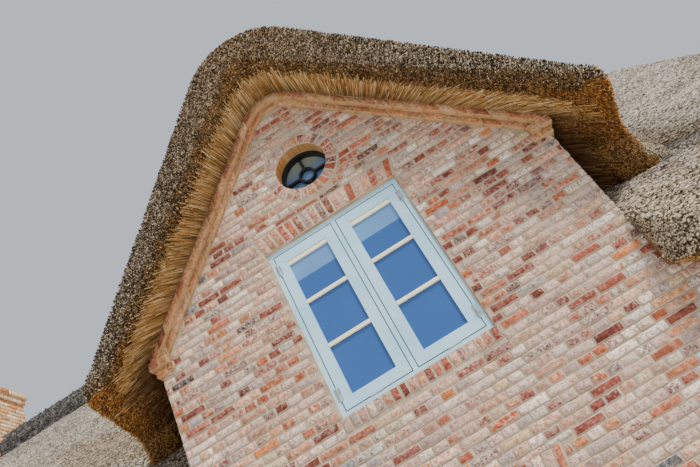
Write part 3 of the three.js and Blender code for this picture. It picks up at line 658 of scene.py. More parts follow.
def blocks(boxes: Sequence[Box]) -> bpy.types.Object:
    """Adds blocks as one mesh, to be shaped further.

    Args:
        boxes: The ends of each block along x, y and z.

    Returns:
        The unfinished piece.
    """
    made = []
    for box in boxes:
        select()
        bpy.ops.mesh.primitive_cube_add(size=1, location=[(a + b) / 2 for a, b in box])
        bpy.context.object.scale = [b - a for a, b in box]
        made.append(bpy.context.object)
    return merged(made)


def bars(boxes: Sequence[Box], round_off: float, segments: int = 2) -> bpy.types.Object:
    """Models planed bars with softened edges, as one mesh.

    Args:
        boxes: The ends of each bar along x, y and z.
        round_off: Width of the softened edges.
        segments: Steps of each softened edge.

    Returns:
        The unfinished piece.
    """
    piece = blocks(boxes)
    with editing(piece):
        bpy.ops.mesh.bevel(offset=round_off, segments=segments)
    return piece


def settle(piece: bpy.types.Object, name: str, finish: Finish) -> bpy.types.Object:
    """Names a piece, applies its place to its mesh, finishes it and lets it ride on the house.

    Args:
        piece: The new object.
        name: Its name.
        finish: Its finish.

    Returns:
        The same object.
    """
    select(piece)
    bpy.ops.object.transform_apply()
    piece.name = piece.data.name = name
    finish.dress(piece)
    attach(piece, ROOT)
    log.info("%s: %d faces", name, len(piece.data.polygons))
    return piece


@dataclass
class Shape:
    """The points and faces of a form that was modelled once, ready to be copied."""

    points: np.ndarray
    faces: list[np.ndarray]

    @staticmethod
    def taken(piece: bpy.types.Object) -> "Shape":
        """Takes the shape of an object and removes the object.

        Args:
            piece: The modelled object.

        Returns:
            Its points and its faces, grouped by number of corners.
        """
        points = np.array([v.co for v in piece.data.vertices], float)
        rings: dict[int, list[list[int]]] = {}
        for polygon in piece.data.polygons:
            rings.setdefault(len(polygon.vertices), []).append(list(polygon.vertices))
        bpy.data.objects.remove(piece, do_unlink=True)
        return Shape(points, [np.array(rings[k]) for k in sorted(rings)])

    def copied(
        self, name: str, points: np.ndarray, finish: Finish, slot: str, layer: str,
        colours: np.ndarray,
    ) -> bpy.types.Object:
        """Makes one piece from many copies.

        Args:
            name: The piece's name.
            points: Points of all the copies, shaped (copies, points, 3).
            finish: The finish.
            slot: The record's material slot; not used.
            layer: Name of the points' colour attribute.
            colours: Its values, shaped (copies, points, 4).

        Returns:
            The new object.
        """
        count, each = points.shape[:2]
        shift = (np.arange(count) * each)[:, None, None]
        faces = [(group[None] + shift).reshape(-1, group.shape[1]) for group in self.faces]
        loops = np.concatenate([group.ravel() for group in faces])
        sizes = np.concatenate([np.full(len(group), group.shape[1]) for group in faces])
        mesh = bpy.data.meshes.new(name)
        mesh.vertices.add(count * each)
        mesh.vertices.foreach_set("co", points.astype(np.float32).ravel())
        mesh.loops.add(len(loops))
        mesh.loops.foreach_set("vertex_index", loops.astype(np.int32))
        mesh.polygons.add(len(sizes))
        starts = np.concatenate([[0], np.cumsum(sizes)[:-1]])
        mesh.polygons.foreach_set("loop_start", starts.astype(np.int32))
        mesh.update(calc_edges=True)
        attribute = mesh.attributes.new(layer, "FLOAT_COLOR", "POINT")
        attribute.data.foreach_set("color", colours.astype(np.float32).ravel())
        piece = bpy.data.objects.new(name, mesh)
        bpy.context.scene.collection.objects.link(piece)
        return settle(piece, name, finish)


# Brickwork


def row(edges: Sequence[float], low: float, high: float, inset: float = INSET) -> list:
    """Lays out upright bricks side by side.

    Args:
        edges: Where the joints between them lie.
        low: Bottom of the row.
        high: Top of the row.
        inset: Half of the joint.

    Returns:
        The corners of each brick.
    """
    return [
        [(a + inset, low), (b - inset, low), (b - inset, high), (a + inset, high)]
        for a, b in zip(edges[:-1], edges[1:])
    ]


def fan(centre: float, low: float, high: float, half_low: float, half_high: float) -> list:
    """Lays out soldiers side by side between two slanted or upright sides.

    Args:
        centre: Middle of the row.
        low: Bottom of the row.
        high: Top of the row.
        half_low: Half width at the bottom.
        half_high: Half width at the top.

    Returns:
        The corners of each brick.
    """
    count = round(2 * half_low / COURSE)
    shares = [(2 * k / count - 1, 2 * (k + 1) / count - 1) for k in range(count)]
    return [
        [
            (centre + s0 * half_low + INSET, low),
            (centre + s1 * half_low - INSET, low),
            (centre + s1 * half_high - INSET, high),
            (centre + s0 * half_high + INSET, high),
        ]
        for s0, s1 in shares
    ]


def wheel(centre: float, middle: float, inner: float, outer: float) -> list:
    """Lays out bricks as spokes round a circle.

    Args:
        centre: The circle's u.
        middle: The circle's v.
        inner: Inner radius.
        outer: Outer radius.

    Returns:
        The corners of each brick.
    """
    count = round(2 * math.pi * (inner + outer) / 2 / COURSE)
    laid = []
    for k in range(count):
        quad = []
        for radius, side in ((outer, -1), (outer, 1), (inner, 1), (inner, -1)):
            angle = 2 * math.pi * k / count + side * (math.pi / count - INSET / radius)
            quad.append((centre + radius * math.cos(angle), middle + radius * math.sin(angle)))
        laid.append(quad)
    return laid


@dataclass(frozen=True)
class Hole:
    """An opening in the brickwork, or a part that another piece fills."""

    centre: float
    low: float
    high: float
    half_low: float
    half_high: float
    radius: float = 0.0

    def half(self, v: float) -> float:
        """Gives half of the hole's width.

        Args:
            v: Height on the facade.

        Returns:
            The half width there.
        """
        if self.radius:
            middle = (self.low + self.high) / 2
            return math.sqrt(max(self.radius**2 - (v - middle) ** 2, 0))
        share = (v - self.low) / (self.high - self.low)
        return self.half_low + (self.half_high - self.half_low) * share

    def wider(self) -> "Hole":
        """Returns a hole that leaves a joint on all its sides."""
        halves = self.half_low + POINTED, self.half_high + POINTED
        return Hole(self.centre, self.low - POINTED, self.high + POINTED, *halves)


@dataclass(frozen=True)
class Facade:
    """A flat face of the house, drawn in u, v and out."""

    origin: Triple
    out: Triple

    def place(self, u: np.ndarray, v: np.ndarray, out: np.ndarray) -> np.ndarray:
        """Gives the points in the house's frame.

        Args:
            u: Distances to the right.
            v: Heights.
            out: Distances out from the face.

        Returns:
            The points, with the last axis for x, y and z.
        """
        away = np.array(self.out)
        right = np.cross((0, 0, 1), away)
        base = np.array(self.origin)
        return base + u[..., None] * right + v[..., None] * (0, 0, 1) + out[..., None] * away

    def room(self, node: str) -> Hole:
        """Gives the place that a node's box takes on this face.

        Args:
            node: The node's name.

        Returns:
            The box as a hole.
        """
        right = np.cross((0, 0, 1), self.out)
        low, high = (np.array(corner, float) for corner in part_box(node))
        ends = (low - self.origin) @ right, (high - self.origin) @ right
        half = abs(ends[1] - ends[0]) / 2
        return Hole((ends[0] + ends[1]) / 2, low[2], high[2], half, half)

    def matrix(self, u: float, v: float) -> Matrix:
        """Gives the place of a piece modelled with x along u, y into the wall and z up.

        Args:
            u: Where the piece's centre line goes.
            v: Where its foot goes.

        Returns:
            The matrix from the piece's frame to the house's.
        """
        away = Vector(self.out)
        right = UP.cross(away)
        turned = Matrix((right, -away, UP)).transposed().to_4x4()
        return Matrix.Translation(Vector(self.origin) + right * u + UP * v) @ turned


@dataclass(frozen=True)
class BrickShape:
    """A brick with a worn front edge: x along it, y inwards from its face, z upwards."""

    length: float = 0.208
    height: float = 0.057
    depth: float = 0.030
    wear: float = 0.007
    cuts: int = 2

    def model(self) -> Shape:
        """Models the brick without its back, and cut across for more points.

        Returns:
            Its shape.
        """
        half, tall = self.length / 2, self.height / 2
        brick = blocks([((-half, half), (0, self.depth), (-tall, tall))])
        with editing(brick):
            pick(brick, Part.FACES, lambda face: face.normal.y > 0.5)
            bpy.ops.mesh.delete(type="FACE")
            for k in range(1, self.cuts + 1):
                bpy.ops.mesh.select_all(action="SELECT")
                across = self.length * (k / (self.cuts + 1) - 0.5)
                bpy.ops.mesh.bisect(plane_co=(across, 0, 0), plane_no=(1, 0, 0))
            pick(brick, Part.EDGES, self.on_arris)
            bpy.ops.mesh.bevel(offset=self.wear, segments=1)
        return Shape.taken(brick)

    def on_arris(self, edge: bmesh.types.BMEdge) -> bool:
        """Says whether an edge bounds the brick's face.

        Args:
            edge: An edge of the modelled brick.

        Returns:
            True for the edges round its face.
        """
        x, y, z = np.abs([end.co for end in edge.verts]).T
        level, upright = np.abs(z - self.height / 2), np.abs(x - self.length / 2)
        return max(y) < TINY and (max(level) < TINY or max(upright) < TINY)

    def middle_share(self, points: np.ndarray) -> np.ndarray:
        """Says how far points lie from the brick's arrises.

        Args:
            points: Points of the modelled brick.

        Returns:
            1 on its flat face and less towards the arrises.
        """
        x, y, z = np.abs(points.T)
        edge = np.minimum(self.length / 2 - x, self.height / 2 - z)
        return np.where(y < 1e-4, np.clip(edge / self.wear, 0, 1), 0.0)


@dataclass
class Brickwork:
    """Bricks laid on one or more facades and joined into one piece.

    The last five fields say how unevenly they lie, as standard deviations in metres: their
    corners, the points along and up each brick, how far it stands out, and its tilt.
    """

    name: str
    finish: Finish
    slot: str
    seed: int
    shape: Shape
    gauge: BrickShape
    points: list[np.ndarray] = field(default_factory=list)
    corner_spread: float = 0.0020
    along_spread: float = 0.0018
    up_spread: float = 0.0016
    stand_spread: float = 0.0012
    tilt_spread: float = 0.0020

    def lay(self, facade: Facade, corners: list, out: float = BRICK_PROUD) -> None:
        """Lays bricks on a facade.

        Args:
            facade: The face that they lie on.
            corners: The four corners of each brick in (u, v), counterclockwise from below left.
            out: How far the bricks stand out.
        """
        if not corners:
            return
        rng = np.random.default_rng(self.seed + len(self.points))
        quads = np.array(corners, float)
        quads += rng.normal(0, self.corner_spread, quads.shape)
        a, b, c, d = quads.transpose(1, 0, 2)
        long, tall = (
            (np.linalg.norm(first, axis=1) + np.linalg.norm(second, axis=1)) / 2
            for first, second in ((b - a, c - d), (d - a, c - b))
        )
        x, y, z = self.shape.points.T
        s = self.shares(x, self.gauge.length, long)
        t = self.shares(z, self.gauge.height, tall)
        s = s + rng.normal(0, self.along_spread, s.shape) / long[:, None]
        t = t + rng.normal(0, self.up_spread, t.shape) / tall[:, None]
        s4, t4 = s[..., None], t[..., None]
        a, b, c, d = a[:, None], b[:, None], c[:, None], d[:, None]
        flat = (1 - t4) * ((1 - s4) * a + s4 * b) + t4 * ((1 - s4) * d + s4 * c)
        each = (len(quads), 1)
        stand = out + rng.normal(0, self.stand_spread, each)
        stand = stand + (s - 0.5) * rng.normal(0, self.tilt_spread, each)
        depth = np.where(y[None] < self.gauge.depth / 2, stand - y[None], -BRICK_EMBED)
        self.points.append(facade.place(flat[..., 0], flat[..., 1], depth))

    @staticmethod
    def shares(along: np.ndarray, gauge: float, sizes: np.ndarray) -> np.ndarray:
        """Fits the brick's points to each brick's size, keeping the worn edges as they are.

        Args:
            along: The modelled points' places, from minus half of gauge to half of it.
            gauge: The modelled size.
            sizes: The size of each brick.

        Returns:
            Shares from 0 to 1, shaped (bricks, points).
        """
        low, high = along + gauge / 2, gauge / 2 - along
        whole = np.broadcast_to(low / gauge, (len(sizes), len(along)))
        kept_low = low[None] / sizes[:, None]
        kept_high = 1 - high[None] / sizes[:, None]
        return np.where(low < EDGE_KEPT, kept_low, np.where(high < EDGE_KEPT, kept_high, whole))

    def make(self) -> None:
        """Joins all bricks that were laid, each with its own tone, wash and seed."""
        points = np.concatenate(self.points)
        rng = np.random.default_rng(self.seed)
        count = len(points)
        tones = np.empty((*points.shape[:2], 4))
        tones[..., 0] = rng.random(count)[:, None]
        tones[..., 1] = rng.beta(1.15, 1.15, count)[:, None]
        tones[..., 2] = rng.random(count)[:, None]
        tones[..., 3] = self.gauge.middle_share(self.shape.points)
        self.shape.copied(self.name, points, self.finish, self.slot, "brick", tones)


@dataclass
class Bond:
    """English bond within the outline of a wall: its ends, or what gives them at a height."""

    low: float
    high: float
    limits: Pair | Callable[[float], Pair]
    holes: list[Hole] = field(default_factory=list)
    lowest_course: float = 0.020
    least: Triple = (0.004, 0.028, 0.030)

    def ends(self, v: float) -> Pair:
        """Returns the wall's left and right end at height v."""
        return self.limits(v) if callable(self.limits) else self.limits

    def bricks(self) -> list:
        """Lays out the courses.

        Returns:
            The corners of each brick.
        """
        laid = []
        for k in range(round(self.low / COURSE), round(self.high / COURSE)):
            low = max(k * COURSE + INSET, self.low)
            high = min((k + 1) * COURSE - INSET, self.high)
            if high - low < self.lowest_course:
                continue
            left, right = self.ends((low + high) / 2)
            module, start = (STRETCHER, 0.0) if k % 2 else (HEADER, HEADER / 2)
            first, last = math.floor((left - start) / module), math.ceil((right - start) / module)
            for j in range(first, last + 1):
                at = start + j * module
                quad = self.trimmed(at + INSET, at + module - INSET, low, high)
                if quad:
                    laid.append(quad)
        return laid

    def trimmed(self, left: float, right: float, low: float, high: float) -> list | None:
        """Cuts a brick to the wall's outline and round the holes.

        Args:
            left: Its left end.
            right: Its right end.
            low: Its bottom.
            high: Its top.

        Returns:
            Its four corners, or None where too little is left.
        """
        (l0, r0), (l1, r1) = self.ends(low), self.ends(high)
        a0, a1 = max(left, l0), max(left, l1)
        b0, b1 = min(right, r0), min(right, r1)
        for hole in self.holes:
            from_v, to_v = max(low, hole.low), min(high, hole.high)
            if to_v <= from_v:
                continue
            h0, h1 = hole.half(from_v), hole.half(to_v)
            wide = max(h0, h1)
            begin, end = max(a0, a1), min(b0, b1)
            if begin >= hole.centre + wide or end <= hole.centre - wide:
                continue
            rooms = {
                "left": (hole.centre - wide - begin) * (high - low),
                "right": (end - hole.centre - wide) * (high - low),
                "below": (hole.low - low) * (end - begin),
                "above": (high - hole.high) * (end - begin),
            }
            side = max(rooms, key=lambda key: rooms[key])
            if rooms[side] <= 0:
                return None
            if side == "left":
                b0, b1 = min(b0, hole.centre - h0), min(b1, hole.centre - h1)
            elif side == "right":
                a0, a1 = max(a0, hole.centre + h0), max(a1, hole.centre + h1)
            elif side == "below":
                high = hole.low
            else:
                low = hole.high
        left_over = min(b0 - a0, b1 - a1), (b0 - a0 + b1 - a1) / 2, high - low
        if any(size < least for size, least in zip(left_over, self.least)):
            return None
        return [(a0, low), (b0, low), (b1, high), (a1, high)]


@dataclass(frozen=True)
class Rake:
    """The rounded or pointed line of a gable's soffit, with bands of brick under it."""

    apex: float
    pitch: float
    rounding: float
    half: float
    step: float = 0.02

    def crown(self, offset: float) -> Triple:
        """Gives the crown of a line.

        Args:
            offset: Distance of the line below the soffit.

        Returns:
            Its peak, its rounding and the height of the rounding's centre.
        """
        radius = max(self.rounding - offset, 0.0)
        peak = self.apex - offset / math.cos(self.pitch)
        return peak, radius, peak - radius / math.cos(self.pitch)

    def line(self, offset: float) -> np.ndarray:
        """Gives points of the line that lies offset below the soffit, from left to right.

        Args:
            offset: Distance below the soffit, at right angles to it.

        Returns:
            Points (u, v).
        """
        peak, radius, middle = self.crown(offset)
        across = np.linspace(-self.half, self.half, int(2 * self.half / self.step) + 1)
        heights = peak - np.abs(across) * math.tan(self.pitch)
        arc = middle + np.sqrt(np.maximum(radius**2 - across**2, 0))
        heights = np.where(np.abs(across) < radius * math.sin(self.pitch), arc, heights)
        return np.stack([across, heights], axis=1)

    def half_at(self, v: float, offset: float) -> float:
        """Gives half of the width under a line.

        Args:
            v: Height on the facade.
            offset: Distance of the line below the soffit.

        Returns:
            The half width there.
        """
        peak, radius, middle = self.crown(offset)
        if v > middle + radius * math.cos(self.pitch):
            return math.sqrt(max(radius**2 - (v - middle) ** 2, 0.0))
        return (peak - v) / math.tan(self.pitch)

    def band(self, near: float, far: float, module: float, lowest: float) -> list:
        """Lays out bricks along the rake.

        Args:
            near: The band's upper edge below the soffit.
            far: Its lower edge.
            module: Length of a brick with its joint.
            lowest: Bricks start above this height.

        Returns:
            The corners of each brick.
        """
        outer, inner = self.line(near), self.line(far)
        middle = (outer + inner) / 2
        steps = np.linalg.norm(np.diff(middle, axis=0), axis=1)
        along = np.concatenate([[0], np.cumsum(steps)])
        start = along[np.searchsorted(middle[: len(middle) // 2, 1], lowest)]
        end = along[-1] - start
        edges = np.linspace(start, end, max(round((end - start) / module), 1) + 1)

        def at(line: np.ndarray, s: float) -> Pair:
            """Returns the point of a line at distance s along the band."""
            return tuple(float(np.interp(s, along, values)) for values in line.T)

        sides = [(a + 0.002, b - 0.002) for a, b in zip(edges[:-1], edges[1:])]
        return [[at(inner, a), at(inner, b), at(outer, b), at(outer, a)] for a, b in sides]


class Side(Enum):
    """The four sides of the house, by their outward direction."""

    FRONT = (0.0, -1.0, 0.0)
    BACK = (0.0, 1.0, 0.0)
    LEFT = (-1.0, 0.0, 0.0)
    RIGHT = (1.0, 0.0, 0.0)


@dataclass
class Masonry:
    """All brickwork of the house: bonds, arches, sills, corbels and the chimney.

    cornice_cover is how far the cross gable's bricks cover the ends of the cornices beside it,
    kneeler_bricks are the ends of the two bricks at its eaves, inwards from the outer edge, and
    the chimney's bricks begin at the thatch_line.
    """

    arch_height: float = 0.185
    arch_spread: float = 0.045
    sill_height: float = 0.110
    pointing: float = 0.010
    cornice_height: float = 0.140
    cornice_cover: float = 0.055
    kneeler_bricks: tuple[Pair, ...] = ((0.0, 0.098), (0.110, 0.170))
    thatch_line: float = 6.9
    cheek_top: float = 4.55
    cheek_length: float = 1.3

    def __post_init__(self) -> None:
        """Reads the house's main lines from the frame and models the two bricks."""
        self.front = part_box("front_wall")[0].y
        self.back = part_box("back_wall")[1].y
        self.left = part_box("left_gable_wall")[0].x
        self.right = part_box("right_gable_wall")[1].x
        self.wall_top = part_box("front_left_cornice")[1].z
        self.course_top = self.wall_top - self.cornice_height
        low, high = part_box("gable_window_frame")
        self.bay_x = ((low + high) / 2).x
        self.bay_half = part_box("right_cheek")[1].x - self.bay_x
        lift = BAY_ROUNDING / math.cos(BAY_PITCH) - BAY_ROUNDING
        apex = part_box("front_wall")[1].z + lift
        self.bay_rake = Rake(apex, BAY_PITCH, BAY_ROUNDING, self.bay_half + BAND_STEP)
        self.gable_rake = Rake(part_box("left_gable_wall")[1].z, MAIN_PITCH, 0.0, self.back)
        worn, plain = BrickShape(), BrickShape(cuts=0)
        self.shapes = {True: (worn.model(), worn), False: (plain.model(), plain)}

    def facade(self, side: Side, centre: float = 0.0) -> Facade:
        """Gives a facade with its u measured from a centre.

        Args:
            side: The side of the house.
            centre: Where u is zero, along X on the front and back, along Y on the gables.

        Returns:
            The facade.
        """
        places = {
            Side.FRONT: (centre, self.front, 0.0),
            Side.BACK: (centre, self.back, 0.0),
            Side.LEFT: (self.left, centre, 0.0),
            Side.RIGHT: (self.right, centre, 0.0),
        }
        return Facade(places[side], side.value)

    def build(self) -> None:
        """Builds all brickwork, side by side."""
        for node, slot in SLOT_OF_NODE.items():
            if slot in ("brick", "soldier"):
                finish = {"round_light_ring": RING_REVEAL, "window_arch": REVEAL}.get(node, MORTAR)
                if node.endswith("corbel") or node.startswith("chimney"):
                    finish = CORBEL_MORTAR
                finish.dress(frame["nodes"][node])
        self.cross_gable()
        self.front_wall()
        self.back_wall()
        self.gables()
        self.cheeks()
        self.chimney()

    def start(
        self, name: str, seed: int, finish: Finish = WALL_BRICK, worn: bool = False
    ) -> Brickwork:
        """Starts a piece of brickwork.

        Args:
            name: The piece's name.
            seed: Seed of its random tones.
            finish: The brick's finish.
            worn: True for the brick with more points.

        Returns:
            The empty brickwork.
        """
        slot = "soldier" if finish == SOLDIER_BRICK else "brick"
        return Brickwork(name, finish, slot, seed, *self.shapes[worn])

    def window_holes(self, facade: Facade, node: str) -> list[Hole]:
        """Gives a window's opening with its arch and sill, as holes in the bond.

        Args:
            facade: The facade.
            node: The window's frame.

        Returns:
            Three holes: opening, arch and sill.
        """
        room = facade.room(node)
        at, half, top = room.centre, room.half_low + self.pointing, room.high + self.pointing
        past = half + self.pointing
        return [
            Hole(at, room.low, top, half, half),
            Hole(at, top, top + self.arch_height, half, half + self.arch_spread),
            Hole(at, room.low - self.sill_height, room.low, past, past),
        ]

    def door_holes(self) -> list[Hole]:
        """Gives the front door's opening and its arch, seen from the cross gable's centre.

        Returns:
            Both holes.
        """
        door = self.facade(Side.FRONT).room("front_door_frame")
        half, top = door.half_low, door.high
        return [
            Hole(0, 0.0, top, half, half),
            Hole(0, top, top + self.arch_height, half, half + self.arch_spread),
        ]

    def wall(
        self,
        name: str,
        seed: int,
        facade: Facade,
        bonds: Sequence[Bond],
        windows: Sequence[list[Hole]],
        cornices: Sequence[str] = (),
        door: Hole | None = None,
    ) -> None:
        """Lays a wall with its cornices as one piece, and its arches and sills as another.

        Args:
            name: The pieces' first word.
            seed: Seed of the wall, one less than that of the arches.
            facade: The facade.
            bonds: The bonds of its parts.
            windows: Opening, arch and sill of each window.
            cornices: Nodes of the cornices on top of it.
            door: The arch over its door, if any.
        """
        work = self.start(f"{name}_bricks", seed)
        for bond in bonds:
            work.lay(facade, bond.bricks())
        for node in cornices:
            self.cornice(work, facade, node)
        work.make()
        trim = self.start(f"{name}_arch_bricks", seed + 1, SOLDIER_BRICK)
        for _, arch, sill in windows:
            sides = arch.half_low, arch.half_high
            trim.lay(facade, fan(arch.centre, arch.low + INSET, arch.high - INSET, *sides))
            low, high, half = sill.low + INSET, sill.high - 0.002, sill.half_low
            trim.lay(facade, fan(sill.centre, low, high, half, half), BRICK_PROUD + TRIM_PROUD)
        if door:
            trim.lay(facade, fan(0, door.low + 0.006, door.high, door.half_low, door.half_high))
        trim.make()

    def cornice(self, work: Brickwork, facade: Facade, node: str) -> None:
        """Lays the two stepped courses of a cornice.

        Args:
            work: The brickwork that takes them.
            facade: The facade.
            node: The cornice's node.
        """
        room = facade.room(node)
        left, right = room.centre - room.half_low, room.centre + room.half_low
        edges = np.linspace(left - 0.010, right + 0.010, round((right - left) / HEADER) + 1)
        for step in (1, 2):
            bottom = room.low + (step - 1) * COURSE - 0.003
            quads = row(edges, bottom, bottom + COURSE - INSET)
            work.lay(facade, quads, step * BAND_STEP + 0.005)

    @staticmethod
    def bands(work: Brickwork, facade: Facade, rake: Rake, start: float) -> None:
        """Lays the two stepped bands under a verge.

        Args:
            work: The brickwork that takes them.
            facade: The facade.
            rake: The line of the soffit.
            start: The bands begin above this height.
        """
        for near, far, module, step in (
            (BAND + 0.011, 2 * BAND + 0.002, 0.165, 1),
            (0.004, BAND + 0.002, 0.145, 2),
        ):
            quads = rake.band(near, far, module, start)
            work.lay(facade, quads, step * BAND_STEP + TRIM_PROUD)

    def cross_gable(self) -> None:
        """Lays the wall of the cross gable, its corbels, arch, sill and ring."""
        facade = self.facade(Side.FRONT, self.bay_x)
        window, ring = facade.room("gable_window_frame"), facade.room("round_light_ring")
        half = window.half_low + self.pointing
        opening = Hole(0, window.low, window.high + self.pointing, half, half)
        room = facade.room("window_arch")
        arch = Hole(0, room.low, room.high, half, half + self.arch_spread)
        sill = replace(facade.room("window_sill"), centre=0)
        ring_joint = replace(ring.wider(), centre=0, radius=ring.half_low + POINTED)
        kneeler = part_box("cross_gable_corbel")[0].z

        def limits(v: float) -> Pair:
            """Gives the ends of the cross gable's wall.

            Args:
                v: Height on the facade.

            Returns:
                Its left and right end there.
            """
            reach = min(self.bay_rake.half_at(v, BANDS_DEPTH), self.bay_half)
            if v < kneeler:
                beside_cornice = self.course_top < v < self.wall_top
                reach = self.bay_half + (self.cornice_cover if beside_cornice else 0.0)
            return -reach, reach

        peak = self.bay_rake.apex - BANDS_DEPTH / math.cos(BAY_PITCH)
        holes = [opening, arch.wider(), sill.wider(), ring_joint, *self.door_holes()]
        work = self.start("cross_gable_bricks", 11, worn=True)
        work.lay(facade, Bond(0.0, peak, limits, holes).bricks())
        work.make()

        bands = self.start("cross_gable_corbel_bricks", 12, CORBEL_BRICK, True)
        self.bands(bands, facade, self.bay_rake, kneeler + COURSE)
        for step in (1, 2):
            top = kneeler + step * COURSE
            reach = self.bay_half + step * BAND_STEP + 0.004
            for side in (-1, 1):
                for near, far in self.kneeler_bricks:
                    ends = sorted((side * (reach - far), side * (reach - near)))
                    quads = row(ends, top - COURSE + 0.003, top - INSET, 0.0)
                    bands.lay(facade, quads, step * BAND_STEP + TRIM_PROUD)
        bands.make()

        trim = self.start("cross_gable_arch_bricks", 13, SOLDIER_BRICK, True)
        sides, width = (arch.half_low, arch.half_high), sill.half_low
        trim.lay(facade, fan(0, arch.low + 0.002, arch.high - INSET, *sides))
        trim.lay(facade, fan(0, sill.low + INSET, sill.high - 0.003, width, width), 0.010)
        light, glass = facade.room("round_light_frame"), facade.room("round_light_glass")
        middle, inner = (light.low + light.high) / 2, glass.half_low + 0.002
        trim.lay(facade, wheel(0, middle, inner, ring.half_low - 0.004))
        trim.make()

    def front_wall(self) -> None:
        """Lays the front wall on both sides of the cross gable, up to the cornices."""
        facade = self.facade(Side.FRONT, self.bay_x)
        windows = [
            self.window_holes(facade, f"front_{name}_window_frame")
            for name in ("far_left", "left", "right")
        ]
        holes = [hole for three in windows for hole in three]
        ends = (self.left - self.bay_x - BRICK_PROUD, self.right - self.bay_x + BRICK_PROUD)
        parts = ((ends[0], -self.bay_half), (self.bay_half, ends[1]))
        bonds = [Bond(0.0, self.course_top, part, holes) for part in parts]
        cornices = ("front_left_cornice", "front_right_cornice")
        self.wall("front_wall", 21, facade, bonds, windows, cornices, self.door_holes()[1])

    def back_wall(self) -> None:
        """Lays the back wall up to its cornice."""
        facade = self.facade(Side.BACK)
        windows = [
            self.window_holes(facade, f"back_{name}_window_frame")
            for name in ("left", "middle", "right")
        ]
        reach = self.right + BRICK_PROUD
        holes = [hole for three in windows for hole in three]
        bonds = [Bond(0.0, self.course_top, (-reach, reach), holes)]
        self.wall("back_wall", 31, facade, bonds, windows, ("back_cornice",))

    def gables(self) -> None:
        """Lays both gable walls with their windows and the bands under the verges."""

        def limits(v: float) -> Pair:
            """Returns a gable's left and right end at height v."""
            reach = min(self.gable_rake.half_at(v, BANDS_DEPTH), self.back)
            return -reach, reach

        top = self.gable_rake.apex - BANDS_DEPTH / math.cos(MAIN_PITCH)
        for side, name, seed in ((Side.LEFT, "left_gable", 41), (Side.RIGHT, "right_gable", 51)):
            facade = self.facade(side)
            holes = self.window_holes(facade, f"{name}_window_frame")
            self.wall(name, seed, facade, [Bond(0.0, top, limits, holes)], [holes])
            bands = self.start(f"{name}_corbel_bricks", seed + 2, CORBEL_BRICK)
            self.bands(bands, facade, self.gable_rake, self.wall_top - 0.1)
            bands.make()

    def cheeks(self) -> None:
        """Lays the side faces of the cross gable where they rise out of the main slope."""
        for name, side, corner, ends, seed in (
            ("left_cheek", Side.LEFT, 0, (-self.cheek_length, 0.0), 65),
            ("right_cheek", Side.RIGHT, 1, (0.0, self.cheek_length), 61),
        ):
            facade = Facade((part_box(name)[corner].x, self.front, 0.0), side.value)
            work = self.start(f"{name}_bricks", seed)
            work.lay(facade, Bond(self.wall_top, self.cheek_top, ends).bricks())
            work.make()

    def chimney(self) -> None:
        """Lays the chimney's four faces above the thatch, and its two cap courses."""
        low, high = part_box("chimney_stack")
        cap_low, cap_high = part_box("chimney_cap")
        middle = (low + high) / 2
        half = (high.x - low.x) / 2
        reach = half + BRICK_PROUD
        course = (cap_high.z - cap_low.z) / 2
        work = self.start("chimney_bricks", 71, CHIMNEY_BRICK, True)
        for side in Side:
            origin = np.array((middle.x, middle.y, 0.0)) + np.array(side.value) * half
            facade = Facade(tuple(origin), side.value)
            work.lay(facade, Bond(self.thatch_line, high.z, (-reach, reach)).bricks())
            for step, count in ((1, 8), (2, 4)):
                edge = half + step * BAND_STEP + BRICK_PROUD
                bottom = cap_low.z + (step - 1) * course
                edges = np.linspace(-edge, edge, count + 1)
                quads = row(edges, bottom - 0.003, bottom + course - JOINT)
                work.lay(facade, quads, step * BAND_STEP + TRIM_PROUD)
        work.make()


# Thatch


@cache
def reed_shape() -> Shape:
    """Models a short reed of unit length and radius along +Z, open at its foot.

    Returns:
        Its shape, with three sides.
    """
    select()
    bpy.ops.mesh.primitive_cylinder_add(
        vertices=3, radius=1, depth=1, end_fill_type="NGON", location=(0, 0, 0.5)
    )
    reed = merged([bpy.context.object])
    with editing(reed):
        pick(reed, Part.FACES, lambda face: face.normal.z < -0.5)
        bpy.ops.mesh.delete(type="FACE")
    return Shape.taken(reed)


@dataclass
class Skin:
    """The triangles of a node, to sow reeds on."""

    corners: np.ndarray
    normals: np.ndarray
    areas: np.ndarray

    @staticmethod
    def of(node: str) -> "Skin":
        """Reads the triangles of a node.

        Args:
            node: The node's name.

        Returns:
            Its triangles.
        """
        mesh = frame["nodes"][node].data
        mesh.calc_loop_triangles()
        points = np.array([v.co for v in mesh.vertices], float)
        corners = points[np.array([t.vertices for t in mesh.loop_triangles])]
        cross = np.cross(corners[:, 1] - corners[:, 0], corners[:, 2] - corners[:, 0])
        length = np.linalg.norm(cross, axis=1)
        kept = length > 1e-12
        return Skin(corners[kept], cross[kept] / length[kept][:, None], length[kept] / 2)


